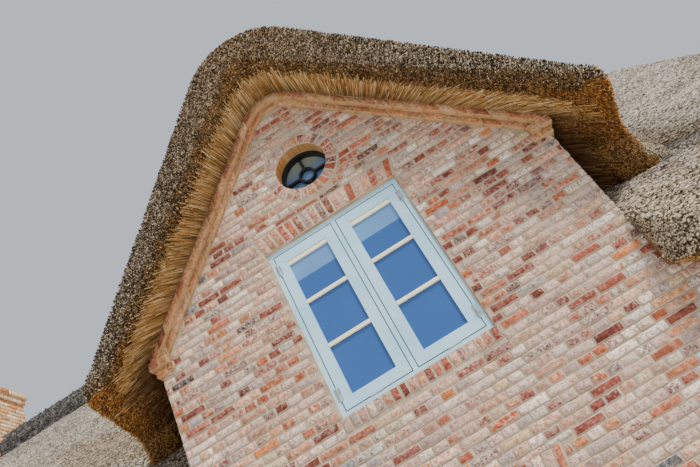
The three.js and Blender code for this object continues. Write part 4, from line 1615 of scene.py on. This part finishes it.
@dataclass(frozen=True)
class ReedCoat:
    """Many reeds of one kind, sown on a node's faces and joined into one piece.

    density is reeds to the square metre, length and radius are ranges, spread is the random
    tilt as a share of the length, sink is how deep the feet stand in the thatch, and the
    reeds are drawn from the seed that follows the sowing's by later.
    """

    name: str
    finish: Finish
    seed: int
    density: float
    length: Pair
    radius: Pair
    spread: float
    slot: str = "thatch"
    later: int = 1
    sink: float = 0.008

    def sow(
        self, skin: Skin, kept: Callable[[np.ndarray, np.ndarray], np.ndarray]
    ) -> tuple[np.ndarray, np.ndarray]:
        """Sows points on the faces.

        Args:
            skin: The node's triangles.
            kept: Says which points stay, from the points and their normals.

        Returns:
            The points that stay and their normals.
        """
        rng = np.random.default_rng(self.seed)
        index = np.repeat(np.arange(len(skin.areas)), rng.poisson(skin.areas * self.density))
        a, b = rng.random(len(index)), rng.random(len(index))
        a, b = np.where(a + b > 1, 1 - a, a), np.where(a + b > 1, 1 - b, b)
        first, second, third = skin.corners[index].transpose(1, 0, 2)
        points = first + a[:, None] * (second - first) + b[:, None] * (third - first)
        normals = skin.normals[index]
        stay = kept(points, normals)
        return points[stay], normals[stay]

    def grow(
        self,
        roots: np.ndarray,
        heading: np.ndarray,
        golden: np.ndarray | float = 0.0,
        longest: np.ndarray | float = 1.0,
    ) -> None:
        """Grows the reeds.

        Args:
            roots: Where they leave the thatch.
            heading: Mean direction of each.
            golden: How far each takes its finish's second tones, from 0 to 1: golden sheltered reed
                on the verge, painted shade for the soffit's straws and the eaves' ends.
            longest: The most that each may be long.
        """
        rng = np.random.default_rng(self.seed + self.later)
        count, shape = len(roots), reed_shape()
        axis = heading + rng.normal(0, self.spread, (count, 3))
        axis /= np.linalg.norm(axis, axis=1)[:, None]
        helper = np.where(np.abs(axis[:, 2:3]) < 0.9, [[0.0, 0.0, 1.0]], [[1.0, 0.0, 0.0]])
        side = np.cross(helper, axis)
        side /= np.linalg.norm(side, axis=1)[:, None]
        other = np.cross(axis, side)
        long = np.minimum(rng.uniform(*self.length, count), longest)[:, None, None]
        wide = rng.uniform(*self.radius, count)[:, None, None]
        x, y, z = (shape.points[:, k][None, :, None] for k in range(3))
        points = (
            roots[:, None]
            - axis[:, None] * self.sink
            + (x * side[:, None] + y * other[:, None]) * wide
            + z * axis[:, None] * (long + self.sink)
        )
        tones = np.ones((*points.shape[:2], 4))
        tones[..., 0] = rng.beta(1.0, 1.1, count)[:, None]
        tones[..., 1] = shape.points[None, :, 2]
        tones[..., 2] = np.broadcast_to(golden, count)[:, None]
        shape.copied(self.name, points, self.finish, self.slot, "reed", tones)


@dataclass
class Thatch:
    """The thatch: smooth bodies over the model's own, with cut reeds grown on their faces.

    The cross gable's verge hangs over its wall by overhang, its slopes meet in a crown that is
    crown_width wide, and the cut ends of its eaves take more painted shade below eave_shade_below.
    The cut edges of the main roof lie past its walls or, in x, past verges_from, and face up only
    below eaves_below.
    """

    bay_x: float
    front: float
    bay_half: float
    rake: Rake
    overhang: float = 0.40
    crown_width: float = 0.90
    eave_shade_below: float = 4.42
    verges_from: float = 6.12
    eaves_below: float = 3.75
    smooth_angle: float = math.radians(50)
    verge: ReedCoat = ReedCoat(
        "cross_gable_cut_ends", CUT_ENDS, 101, 5400, (0.004, 0.020), (0.0028, 0.0052), 0.16
    )
    straw: ReedCoat = ReedCoat(
        "cross_gable_soffit_straw", GOLDEN_REED, 111, 4600, (0.16, 0.40), (0.0020, 0.0040), 0.022
    )
    butts: ReedCoat = ReedCoat(
        "cross_gable_eave_ends", EAVE_ENDS, 121, 6000, (0.004, 0.030), (0.0020, 0.0036), 0.18
    )
    edges: ReedCoat = ReedCoat(
        "main_cut_ends", STUBBLE, 131, 400, (0.006, 0.024), (0.005, 0.009), 0.2
    )
    stubble: ReedCoat = ReedCoat(
        "main_slope_stubble", STUBBLE, 141, 140, (0.006, 0.020), (0.005, 0.009), 0.15
    )

    def body(self, node: str, name: str, finish: Finish) -> None:
        """Copies a thatch node, merges it and smooths its shading.

        Args:
            node: The node that it stands for.
            name: The new piece's name.
            finish: Its finish.
        """
        piece = frame["nodes"][node].copy()
        piece.data = piece.data.copy()
        for key in list(piece.keys()):
            del piece[key]
        piece.parent = None
        bpy.context.scene.collection.objects.link(piece)
        with editing(piece):
            bpy.ops.mesh.remove_doubles(threshold=0.0002)
        bpy.ops.object.shade_smooth_by_angle(angle=self.smooth_angle)
        settle(piece, name, finish)
        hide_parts(node)

    def build(self) -> None:
        """Builds both bodies and grows the reeds on them."""
        self.body("main_thatch", "main_reed_thatch", MAIN_REED)
        self.body("cross_gable_thatch", "cross_gable_reed_thatch", BAY_REED)
        self.dress_cross_gable(Skin.of("cross_gable_thatch"))
        self.dress_main_roof(Skin.of("main_thatch"))

    def dress_cross_gable(self, bay: Skin) -> None:
        """Grows cut ends on the verge, straws under the overhang and ends on the eaves.

        Args:
            bay: The triangles of the cross gable's thatch.
        """
        out = np.array(Side.FRONT.value)
        draw = np.random.default_rng(110)

        def past_wall(p: np.ndarray) -> np.ndarray:
            """Says which points past the wall's ends belong to the straws, ever fewer outwards."""
            wide = np.where(p[:, 1] < self.front + 0.02, 0.20, 0.16)
            return self.across(p) < self.bay_half + 0.04 + wide * draw.random(len(p))

        def on_verge(p: np.ndarray, n: np.ndarray) -> np.ndarray:
            """Keeps points on the cut face of the verge and round its lip."""
            lip = (n[:, 2] < -0.2) & (self.reach(p) < 0.0) & (self.across(p) < self.bay_half)
            return ((n[:, 1] < -0.5) & (p[:, 1] < self.front - 0.2)) | lip

        def on_soffit(p: np.ndarray, n: np.ndarray) -> np.ndarray:
            """Keeps points under the overhang, up to the wall and a little past its ends.

            Args:
                p: The points.
                n: Their normals.

            Returns:
                Which of them stay.
            """
            behind = (self.across(p) > self.bay_half + 0.02) & (p[:, 1] < self.front + 0.6)
            under = (n[:, 2] < -0.2) & (n[:, 1] > -0.6) & past_wall(p)
            return under & ((p[:, 1] < self.front + 0.02) | behind) & (self.reach(p) > 0.02)

        def on_butt(p: np.ndarray, n: np.ndarray) -> np.ndarray:
            """Keeps points on the cut ends of the eaves."""
            side = (self.across(p) > self.bay_half + 0.06) & (n[:, 1] > -0.55) & ~past_wall(p)
            return side & (n[:, 2] < 0.35) & (p[:, 1] < self.front + 1.6)

        points, normals = self.verge.sow(bay, on_verge)
        heading = normals * 0.5 + out * 0.6 + self.downhill(points) * 0.35
        self.verge.grow(points, heading, self.golden_share(points))

        points, normals = self.straw.sow(bay, on_soffit)
        past = self.across(points) > self.bay_half - 0.05
        fall = self.downhill(points) * self.sweep(points)[:, None]
        heading = out + fall + normals * np.where(past, 0.22, 0.05)[:, None]
        ragged = np.minimum(np.random.default_rng(113).exponential(0.035, len(points)), 0.13)
        longest = np.minimum(self.reach(points) + ragged, np.where(past, 0.26, 0.40))
        # Painted shade: straws darker from just before the wall's face inwards, most of all past
        # the wall's ends
        shade = np.clip((points[:, 1] - self.front + 0.12) / 0.16, 0, 1)
        self.straw.grow(points, heading, shade * np.where(past, 0.9, 0.15), longest)

        points, normals = self.butts.sow(bay, on_butt)
        heading = normals * 0.6 + self.downhill(points) * 0.6 + out * 0.3
        # Painted shade: the eaves' cut ends darken near the wall's corner, further behind the
        # wall's face and lower down
        shade = 0.75 - (self.across(points) - self.bay_half) / 0.30
        behind = np.clip((points[:, 1] - self.front) / 0.5, 0, 0.6)
        low = np.clip((self.eave_shade_below - points[:, 2]) / 0.30, 0, 0.7)
        self.butts.grow(points, heading, np.clip(shade + (behind + low), 0, 1))

    def dress_main_roof(self, main: Skin) -> None:
        """Grows cut ends on the eaves and verges of the main roof, and stubble on its slopes.

        Args:
            main: The triangles of the main thatch.
        """

        def on_edge(p: np.ndarray, n: np.ndarray) -> np.ndarray:
            """Keeps points on the cut faces of the main eaves and verges."""
            outer = (np.abs(p[:, 1]) > -self.front - 0.02) | (np.abs(p[:, 0]) > self.verges_from)
            return ((n[:, 2] < 0.5) | (p[:, 2] < self.eaves_below)) & (n[:, 2] > -0.5) & outer

        points, normals = self.edges.sow(main, on_edge)
        self.edges.grow(points, normals * 0.8 + np.array((0.0, 0.0, -0.35)))
        points, normals = self.stubble.sow(main, lambda p, n: n[:, 2] > 0.5)
        level, down = np.zeros(len(points)), np.full(len(points), -0.69)
        slope = np.stack([level, np.sign(points[:, 1]) * 0.72, down], axis=1)
        self.stubble.grow(points, slope * 0.8 + normals * 0.5)

    def across(self, points: np.ndarray) -> np.ndarray:
        """Returns how far points lie from the cross gable's middle."""
        return np.abs(points[:, 0] - self.bay_x)

    def reach(self, points: np.ndarray) -> np.ndarray:
        """Returns how far the soffit's straws run from their roots to the cut face."""
        lip = 0.12 - 0.05 * np.clip((self.bay_x - points[:, 0]) / 1.5, 0, 1)
        return points[:, 1] - (self.front - self.overhang + lip)

    def downhill(self, points: np.ndarray) -> np.ndarray:
        """Gives the way down the cross gable's nearer slope, level across the crown.

        Args:
            points: Places on the thatch.

        Returns:
            Vectors, shorter across the crown.
        """
        share = np.clip((points[:, 0] - self.bay_x) / (self.crown_width / 2), -1, 1)
        level, drop = share * math.cos(BAY_PITCH), -np.abs(share) * math.sin(BAY_PITCH)
        return np.stack([level, np.zeros(len(points)), drop], axis=1)

    def sweep(self, points: np.ndarray) -> np.ndarray:
        """Returns how much the soffit's straws run down the slope: more towards its ends."""
        share = self.across(points) / 1.75
        return np.where(points[:, 0] > self.bay_x, 2.0 * share**2, 0.9 * share**1.3)

    def golden_share(self, points: np.ndarray) -> np.ndarray:
        """Says how sheltered the cut ends are: most by the soffit, and a little at the crown.

        Args:
            points: Places on the verge.

        Returns:
            Shares from 0 to 1.
        """
        line = replace(self.rake, half=2.8).line(0.0)
        across = points[:, 0] - self.bay_x
        above = (points[:, 2] - np.interp(across, line[:, 0], line[:, 1])) * math.cos(BAY_PITCH)
        crown = 0.85 * np.exp(-((across / 0.95) ** 2))
        side = np.where(across < -0.6, 0.05, 0.45)
        uneven = np.random.default_rng(103).normal(0, 0.3, len(points))
        return np.clip(np.maximum(side - np.abs(above) / 0.10 + uneven, crown), 0, 1)


@dataclass
class HeatherRidges:
    """Heather ridges: the model's saddles dressed as packed twigs, with loose tips."""

    nodes: Sequence[str] = ("left_heather_ridge", "main_heather_ridge", "cross_gable_heather_ridge")
    density: float = 780
    droop: float = 0.5

    def build(self) -> None:
        """Dresses the saddles and grows twigs on them."""
        for k, node in enumerate(self.nodes):
            HEATHER.dress(frame["nodes"][node])
            coat = ReedCoat(
                f"{node}_twigs", HEATHER_TWIGS, 201 + k, self.density, (0.012, 0.045),
                (0.003, 0.005), 0.45, "heather", 10,
            )
            points, normals = coat.sow(Skin.of(node), lambda p, n: n[:, 2] > -0.3)
            coat.grow(points, normals * 0.6 - np.array((0.0, 0.0, self.droop)))


# Windows and doors


def border(
    half: float, low: float, high: float, width: float, deep: Pair, centre: float = 0.0
) -> list[Box]:
    """Gives the four strips of a border, outside a rectangle.

    Args:
        half: Half of the rectangle's width.
        low: Its foot.
        high: Its head.
        width: Width of the strips.
        deep: Their ends along y.
        centre: The rectangle's middle.

    Returns:
        The strips' boxes.
    """
    left, right = centre - half, centre + half
    return [
        ((left - width, left), deep, (low - width, high + width)),
        ((right, right + width), deep, (low - width, high + width)),
        ((left, right), deep, (low - width, low)),
        ((left, right), deep, (high, high + width)),
    ]


@dataclass
class WindowTrim:
    """What a casement window carries, modelled with x along it, y inwards and z up.

    y is zero on the wall's face, z at the window's foot.
    """

    name: str
    height: float
    glass: float
    width: float = 1.240
    setback: float = 0.025
    rail: float = 0.134
    middle: float = 0.30075
    half_light: float = 0.185
    half_sash: float = 0.2752
    sash_edge: float = 0.044
    bar: float = 0.033
    bead: float = 0.041
    hinge: float = 0.100
    hinge_height: float = 0.175
    stay_at: float = 0.320
    parts: list[bpy.types.Object] = field(default_factory=list)

    def model(self) -> None:
        """Models the bars, black strips as painted shade in the sashes' gaps, the pointing, the
        hinges and the stays.
        """
        top, face = self.height - self.rail, self.setback
        front, back = face + 0.003, self.glass + 0.0008
        foot, head = self.sash_edge + 0.001, self.height - self.sash_edge - 0.001
        lath, line, stays = [], [], []
        for side in (-1, 1):
            at = side * self.middle
            across = (at - self.half_light - 0.001, at + self.half_light + 0.001)
            for k in (1, 2):
                z = self.rail + (top - self.rail) * k / 3
                lath.append((across, (front, back), (z - self.bar / 2, z + self.bar / 2)))
            # The head bead, cream as painted light on the moulding under the top rail
            lath.append((across, (face + 0.006, back), (top - self.bead, top + 0.001)))
            # Painted shade: black strips round each sash, where the gap between sash and frame lies
            # in shadow
            deep = (face - 0.0014, face + 0.006)
            line += border(self.half_sash - 0.001, foot, head, 0.0062, deep, at)
            across = (side * self.stay_at - 0.055, side * self.stay_at + 0.055)
            stays.append((across, (face - 0.004, face + 0.003), (0.036, 0.045)))
        left, right, _, over = border(self.width / 2, 0.0, self.height, 0.0125, (0.010, 0.040))
        self.keep(bars(lath, 0.006, 3), "bars", LIT_CREAM_PAINT)
        self.keep(bars(line, 0.0006, 1), "seals", GAP_SHADE)
        self.keep(bars([left, right, over], 0.002, 1), "pointing", MORTAR)
        self.keep(self.hinges(), "hinges", ZINC)
        self.keep(bars(stays, 0.002), "stays", ZINC)

    def keep(self, piece: bpy.types.Object, part: str, finish: Finish) -> None:
        """Finishes a part of this window and keeps it, to be copied.

        Args:
            piece: The modelled part.
            part: What it is.
            finish: Its finish.
        """
        self.parts.append(settle(piece, f"{self.name}_{part}", finish))

    def hinges(self) -> bpy.types.Object:
        """Models four hinges, each with two leaves, a knuckle and its finials.

        Returns:
            The unfinished piece.
        """
        made = []
        deep = (self.setback - 0.003, self.setback + 0.002)
        for side in (-1, 1):
            line = side * (self.middle + self.half_sash + 0.002)
            for z in (self.hinge_height, self.height - self.hinge_height):
                tall = (z - self.hinge / 2, z + self.hinge / 2)
                leaves = [
                    ((line - 0.022, line - 0.004), deep, tall),
                    ((line + 0.004, line + 0.022), deep, tall),
                ]
                made.append(bars(leaves, 0.0015, 1))
                select()
                bpy.ops.mesh.primitive_cylinder_add(
                    vertices=14, radius=0.0068, depth=self.hinge + 0.02,
                    location=(line, self.setback - 0.004, z),
                )
                made.append(bpy.context.object)
                with editing(made[-1]):
                    bpy.ops.mesh.bevel(offset=0.003, segments=2)
        return merged(made)

    def hang(self, name: str, place: Matrix) -> None:
        """Copies all parts to another window of the same size.

        Args:
            name: The other window's name.
            place: Its place.
        """
        for part in self.parts:
            copy = part.copy()
            copy.data = part.data.copy()
            copy.data.transform(place)
            copy.name = copy.data.name = name + part.name[len(self.name) :]
            bpy.context.scene.collection.objects.link(copy)
            log.info("%s: %d faces", copy.name, len(copy.data.polygons))

    def move(self, place: Matrix) -> None:
        """Takes the modelled parts themselves to their window."""
        for part in self.parts:
            part.data.transform(place)


@dataclass
class Door:
    """The front door's boards and furniture, modelled like a window's parts."""

    half: float
    foot: float
    head: float
    face: float
    place: Matrix
    boards: int = 7
    board_thickness: float = 0.010
    margin: float = 0.012

    def build(self) -> None:
        """Builds boards, weather board, strap hinges and the handle."""
        front, back = self.face - self.board_thickness, self.face + 0.002
        proud = (front - 0.006, front + 0.001)
        side, foot, head = self.half - self.margin, self.foot, self.head
        edges = np.linspace(-side, side, self.boards + 1)
        planks = [
            ((a + 0.0015, b - 0.0015), (front, back), (foot + 0.15, head - self.margin))
            for a, b in zip(edges[:-1], edges[1:])
        ]
        kick = [((-side, side), (front - 0.012, back), (foot + 0.012, foot + 0.14))]
        straps = [
            ((0.01 - self.half, self.half * 0.55), proud, (z, z + 0.038))
            for z in (foot + 0.32, head - 0.32)
        ]
        across, deep = (self.half - 0.105, self.half - 0.065), (front - 0.007, front + 0.001)
        rose = [(across, deep, (foot + 0.93, foot + 1.14))]
        self.put(bars(planks, 0.004), "boards", PAINT)
        self.put(bars(kick, 0.008, 3), "weather_board", PAINT)
        self.put(bars(straps, 0.002), "strap_hinges", IRON)
        self.put(bars(rose, 0.004, 3), "handle_plate", IRON)
        select()
        bpy.ops.mesh.primitive_torus_add(
            major_segments=32, minor_segments=10, major_radius=0.035, minor_radius=0.006,
            location=(self.half - 0.085, front - 0.014, foot + 1.01),
            rotation=(math.pi / 2, 0, 0),
        )
        self.put(bpy.context.object, "ring_handle", IRON)

    def put(self, piece: bpy.types.Object, part: str, finish: Finish) -> None:
        """Finishes a part and takes it to the door.

        Args:
            piece: The modelled part.
            part: What it is.
            finish: Its finish.
        """
        settle(piece, f"front_door_{part}", finish).data.transform(self.place)


@dataclass
class RoundLight:
    """The cast iron frame of the round light: a rim, a hub and four spokes."""

    rim: float = 0.021
    hub_outer: float = 0.080
    hub_width: float = 0.018
    spoke: float = 0.022
    node: str = "round_light_frame"

    def build(self) -> None:
        """Builds the slim frame in the place of the model's."""
        low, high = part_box(self.node)
        radius, deep = (high.x - low.x) / 2, high.y - low.y
        inner, outer = self.hub_outer - 0.004, radius - 0.006
        thick, reach = (-self.spoke / 2, self.spoke / 2), (-deep * 0.35, deep * 0.35)
        spans = ((inner, outer), (-outer, -inner))
        spokes = [(span, reach, thick) for span in spans] + [(thick, reach, span) for span in spans]
        made = merged([
            self.hoop(radius, self.rim, deep * 1.9),
            self.hoop(self.hub_outer, self.hub_width, deep * 0.8),
            bars(spokes, 0.003),
        ])
        made.data.transform(Matrix.Translation((low + high) / 2))
        settle(made, "round_light_iron_frame", IRON)
        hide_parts(self.node)

    @staticmethod
    def hoop(radius: float, width: float, deep: float) -> bpy.types.Object:
        """Models a flat hoop with softened edges, standing in the xz plane.

        Args:
            radius: Its outer radius.
            width: Its width.
            deep: Its depth along y.

        Returns:
            The unfinished piece.
        """
        select()
        bpy.ops.mesh.primitive_circle_add(
            vertices=72, radius=radius, fill_type="NGON", rotation=(math.pi / 2, 0, 0)
        )
        piece = merged([bpy.context.object])
        with editing(piece):
            bpy.ops.mesh.inset(thickness=width)
            bpy.ops.mesh.delete(type="FACE")
            bpy.ops.mesh.select_all(action="SELECT")
            bpy.ops.transform.translate(value=(0, -deep / 2, 0))
            bpy.ops.mesh.extrude_region_move(TRANSFORM_OT_translate={"value": (0, deep, 0)})
            bpy.ops.mesh.select_all(action="SELECT")
            bpy.ops.mesh.normals_make_consistent(inside=False)
            pick(piece, Part.EDGES, lambda edge: edge.calc_face_angle(0.0) > math.radians(60))
            bpy.ops.mesh.bevel(offset=0.003, segments=2)
        return piece


@dataclass
class Joinery:
    """Windows and doors: paint, iron and glass on the nodes, and all that they carry."""

    masonry: Masonry

    def build(self) -> None:
        """Dresses the nodes and adds the small pieces."""
        finishes = {"paint": PAINT, "iron": IRON, "concrete": CONCRETE, "timber": PINE}
        for node, slot in SLOT_OF_NODE.items():
            if slot in finishes:
                finishes[slot].dress(frame["nodes"][node])
            elif slot == "glass":
                self.glass(node).dress(frame["nodes"][node])
        self.windows()
        low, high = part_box("front_door")
        place = self.masonry.facade(Side.FRONT).matrix((low.x + high.x) / 2, 0.0)
        Door((high.x - low.x) / 2, low.z, high.z, low.y - self.masonry.front, place).build()
        RoundLight().build()

    @staticmethod
    def glass(node: str) -> GlassFinish:
        """Gives the glass of a window, with its painted reflection brighter in a band below the
        head.

        Args:
            node: The pane's node.

        Returns:
            The finish.
        """
        low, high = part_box(node)
        if node == "round_light_glass":
            # Painted reflection in the round light: sky blue, greenish grey above the band
            return GlassFinish(
                "round_float_glass", 0.05, specular=0.8, deep="6488b8", pale="93a089",
                band=(low.z + 0.25, low.z + 0.42),
            )
        level = low.z + 0.83 * (high.z - low.z)
        name = f"float_glass_{round(level * 1000)}"
        return GlassFinish(name, 0.04, specular=0.8, band=(level, level + 0.012))

    def windows(self) -> None:
        """Models the trim of the cross gable's window and that of the plain windows."""
        masonry = self.masonry
        low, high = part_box("gable_window_frame")
        tall = WindowTrim("gable_window", high.z - low.z, 0.047)
        tall.model()
        tall.move(masonry.facade(Side.FRONT).matrix(masonry.bay_x, low.z))
        first = "front_far_left_window"
        plain = WindowTrim(first, 1.250, 0.0813)
        plain.model()
        for side, names in (
            (Side.FRONT, ("front_left", "front_right")),
            (Side.BACK, ("back_left", "back_middle", "back_right")),
            (Side.LEFT, ("left_gable",)),
            (Side.RIGHT, ("right_gable",)),
        ):
            facade = masonry.facade(side)
            for name in names:
                room = facade.room(f"{name}_window_frame")
                plain.hang(f"{name}_window", facade.matrix(room.centre, room.low))
        facade = masonry.facade(Side.FRONT)
        room = facade.room(f"{first}_frame")
        plain.move(facade.matrix(room.centre, room.low))


# Studio


@dataclass
class Studio:
    """Floor, soft light and the camera at the photograph's angle."""

    lens: float = 34.97
    place: Triple = (2.42236, -8.60919, 1.55)
    right: Triple = (0.84502694, 0.33667812, -0.41542425)
    down: Triple = (-0.5319823, 0.45075891, -0.71680628)
    ahead: Triple = (-0.05407681, 0.82671896, 0.56001023)
    floor_size: float = 160.0
    sky: tuple[float, float, float, float] = (0.83, 0.89, 0.97, 1)
    sky_strength: float = 0.75
    sun_strength: float = 4.6
    sun_angle: float = math.radians(14)
    sun_colour: Triple = (1.0, 0.96, 0.9)
    sun_heading: Triple = (-0.48, 0.44, -0.76)

    def build(self) -> None:
        """Builds the floor, the light and the camera."""
        self.floor()
        self.light()
        self.camera()

    def floor(self) -> None:
        """Lays a plain pale floor."""
        select()
        bpy.ops.mesh.primitive_plane_add(size=self.floor_size, location=(0, 0, -0.002))
        floor = bpy.context.object
        floor.name = "studio_floor"
        PAPER.dress(floor)

    def light(self) -> None:
        """Sets an even sky and one broad key light from the front, high on the right."""
        world = bpy.data.worlds.new("studio")
        bpy.context.scene.world = world
        world.use_nodes = True
        sky = world.node_tree.nodes["Background"].inputs
        sky["Color"].default_value = self.sky
        sky["Strength"].default_value = self.sky_strength
        lamp = bpy.data.lights.new("key", "SUN")
        lamp.energy, lamp.angle, lamp.color = self.sun_strength, self.sun_angle, self.sun_colour
        key = bpy.data.objects.new("key", lamp)
        bpy.context.scene.collection.objects.link(key)
        key.rotation_mode = "QUATERNION"
        key.rotation_quaternion = Vector(self.sun_heading).to_track_quat("-Z", "Y")

    def camera(self) -> None:
        """Places the camera where the photograph was taken."""
        data = bpy.data.cameras.new("camera")
        data.sensor_width, data.lens, data.clip_end = 36.0, self.lens, 400
        camera = bpy.data.objects.new("camera", data)
        bpy.context.scene.collection.objects.link(camera)
        axes = Matrix((Vector(self.right), -Vector(self.down), -Vector(self.ahead)))
        turned = axes.transposed().to_4x4()
        camera.matrix_world = Matrix.Translation(Vector(self.place)) @ turned
        bpy.context.scene.camera = camera


def write_sizes() -> None:
    """Updates the view layer."""
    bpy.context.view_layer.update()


def main() -> None:
    """Builds the cottage piece by piece."""
    logging.basicConfig(level=logging.INFO, format="%(name)s: %(message)s")
    masonry = Masonry()
    masonry.build()
    Thatch(masonry.bay_x, masonry.front, masonry.bay_half, masonry.bay_rake).build()
    HeatherRidges().build()
    Joinery(masonry).build()
    Studio().build()
    write_sizes()


if __name__ == "__main__":
    main()
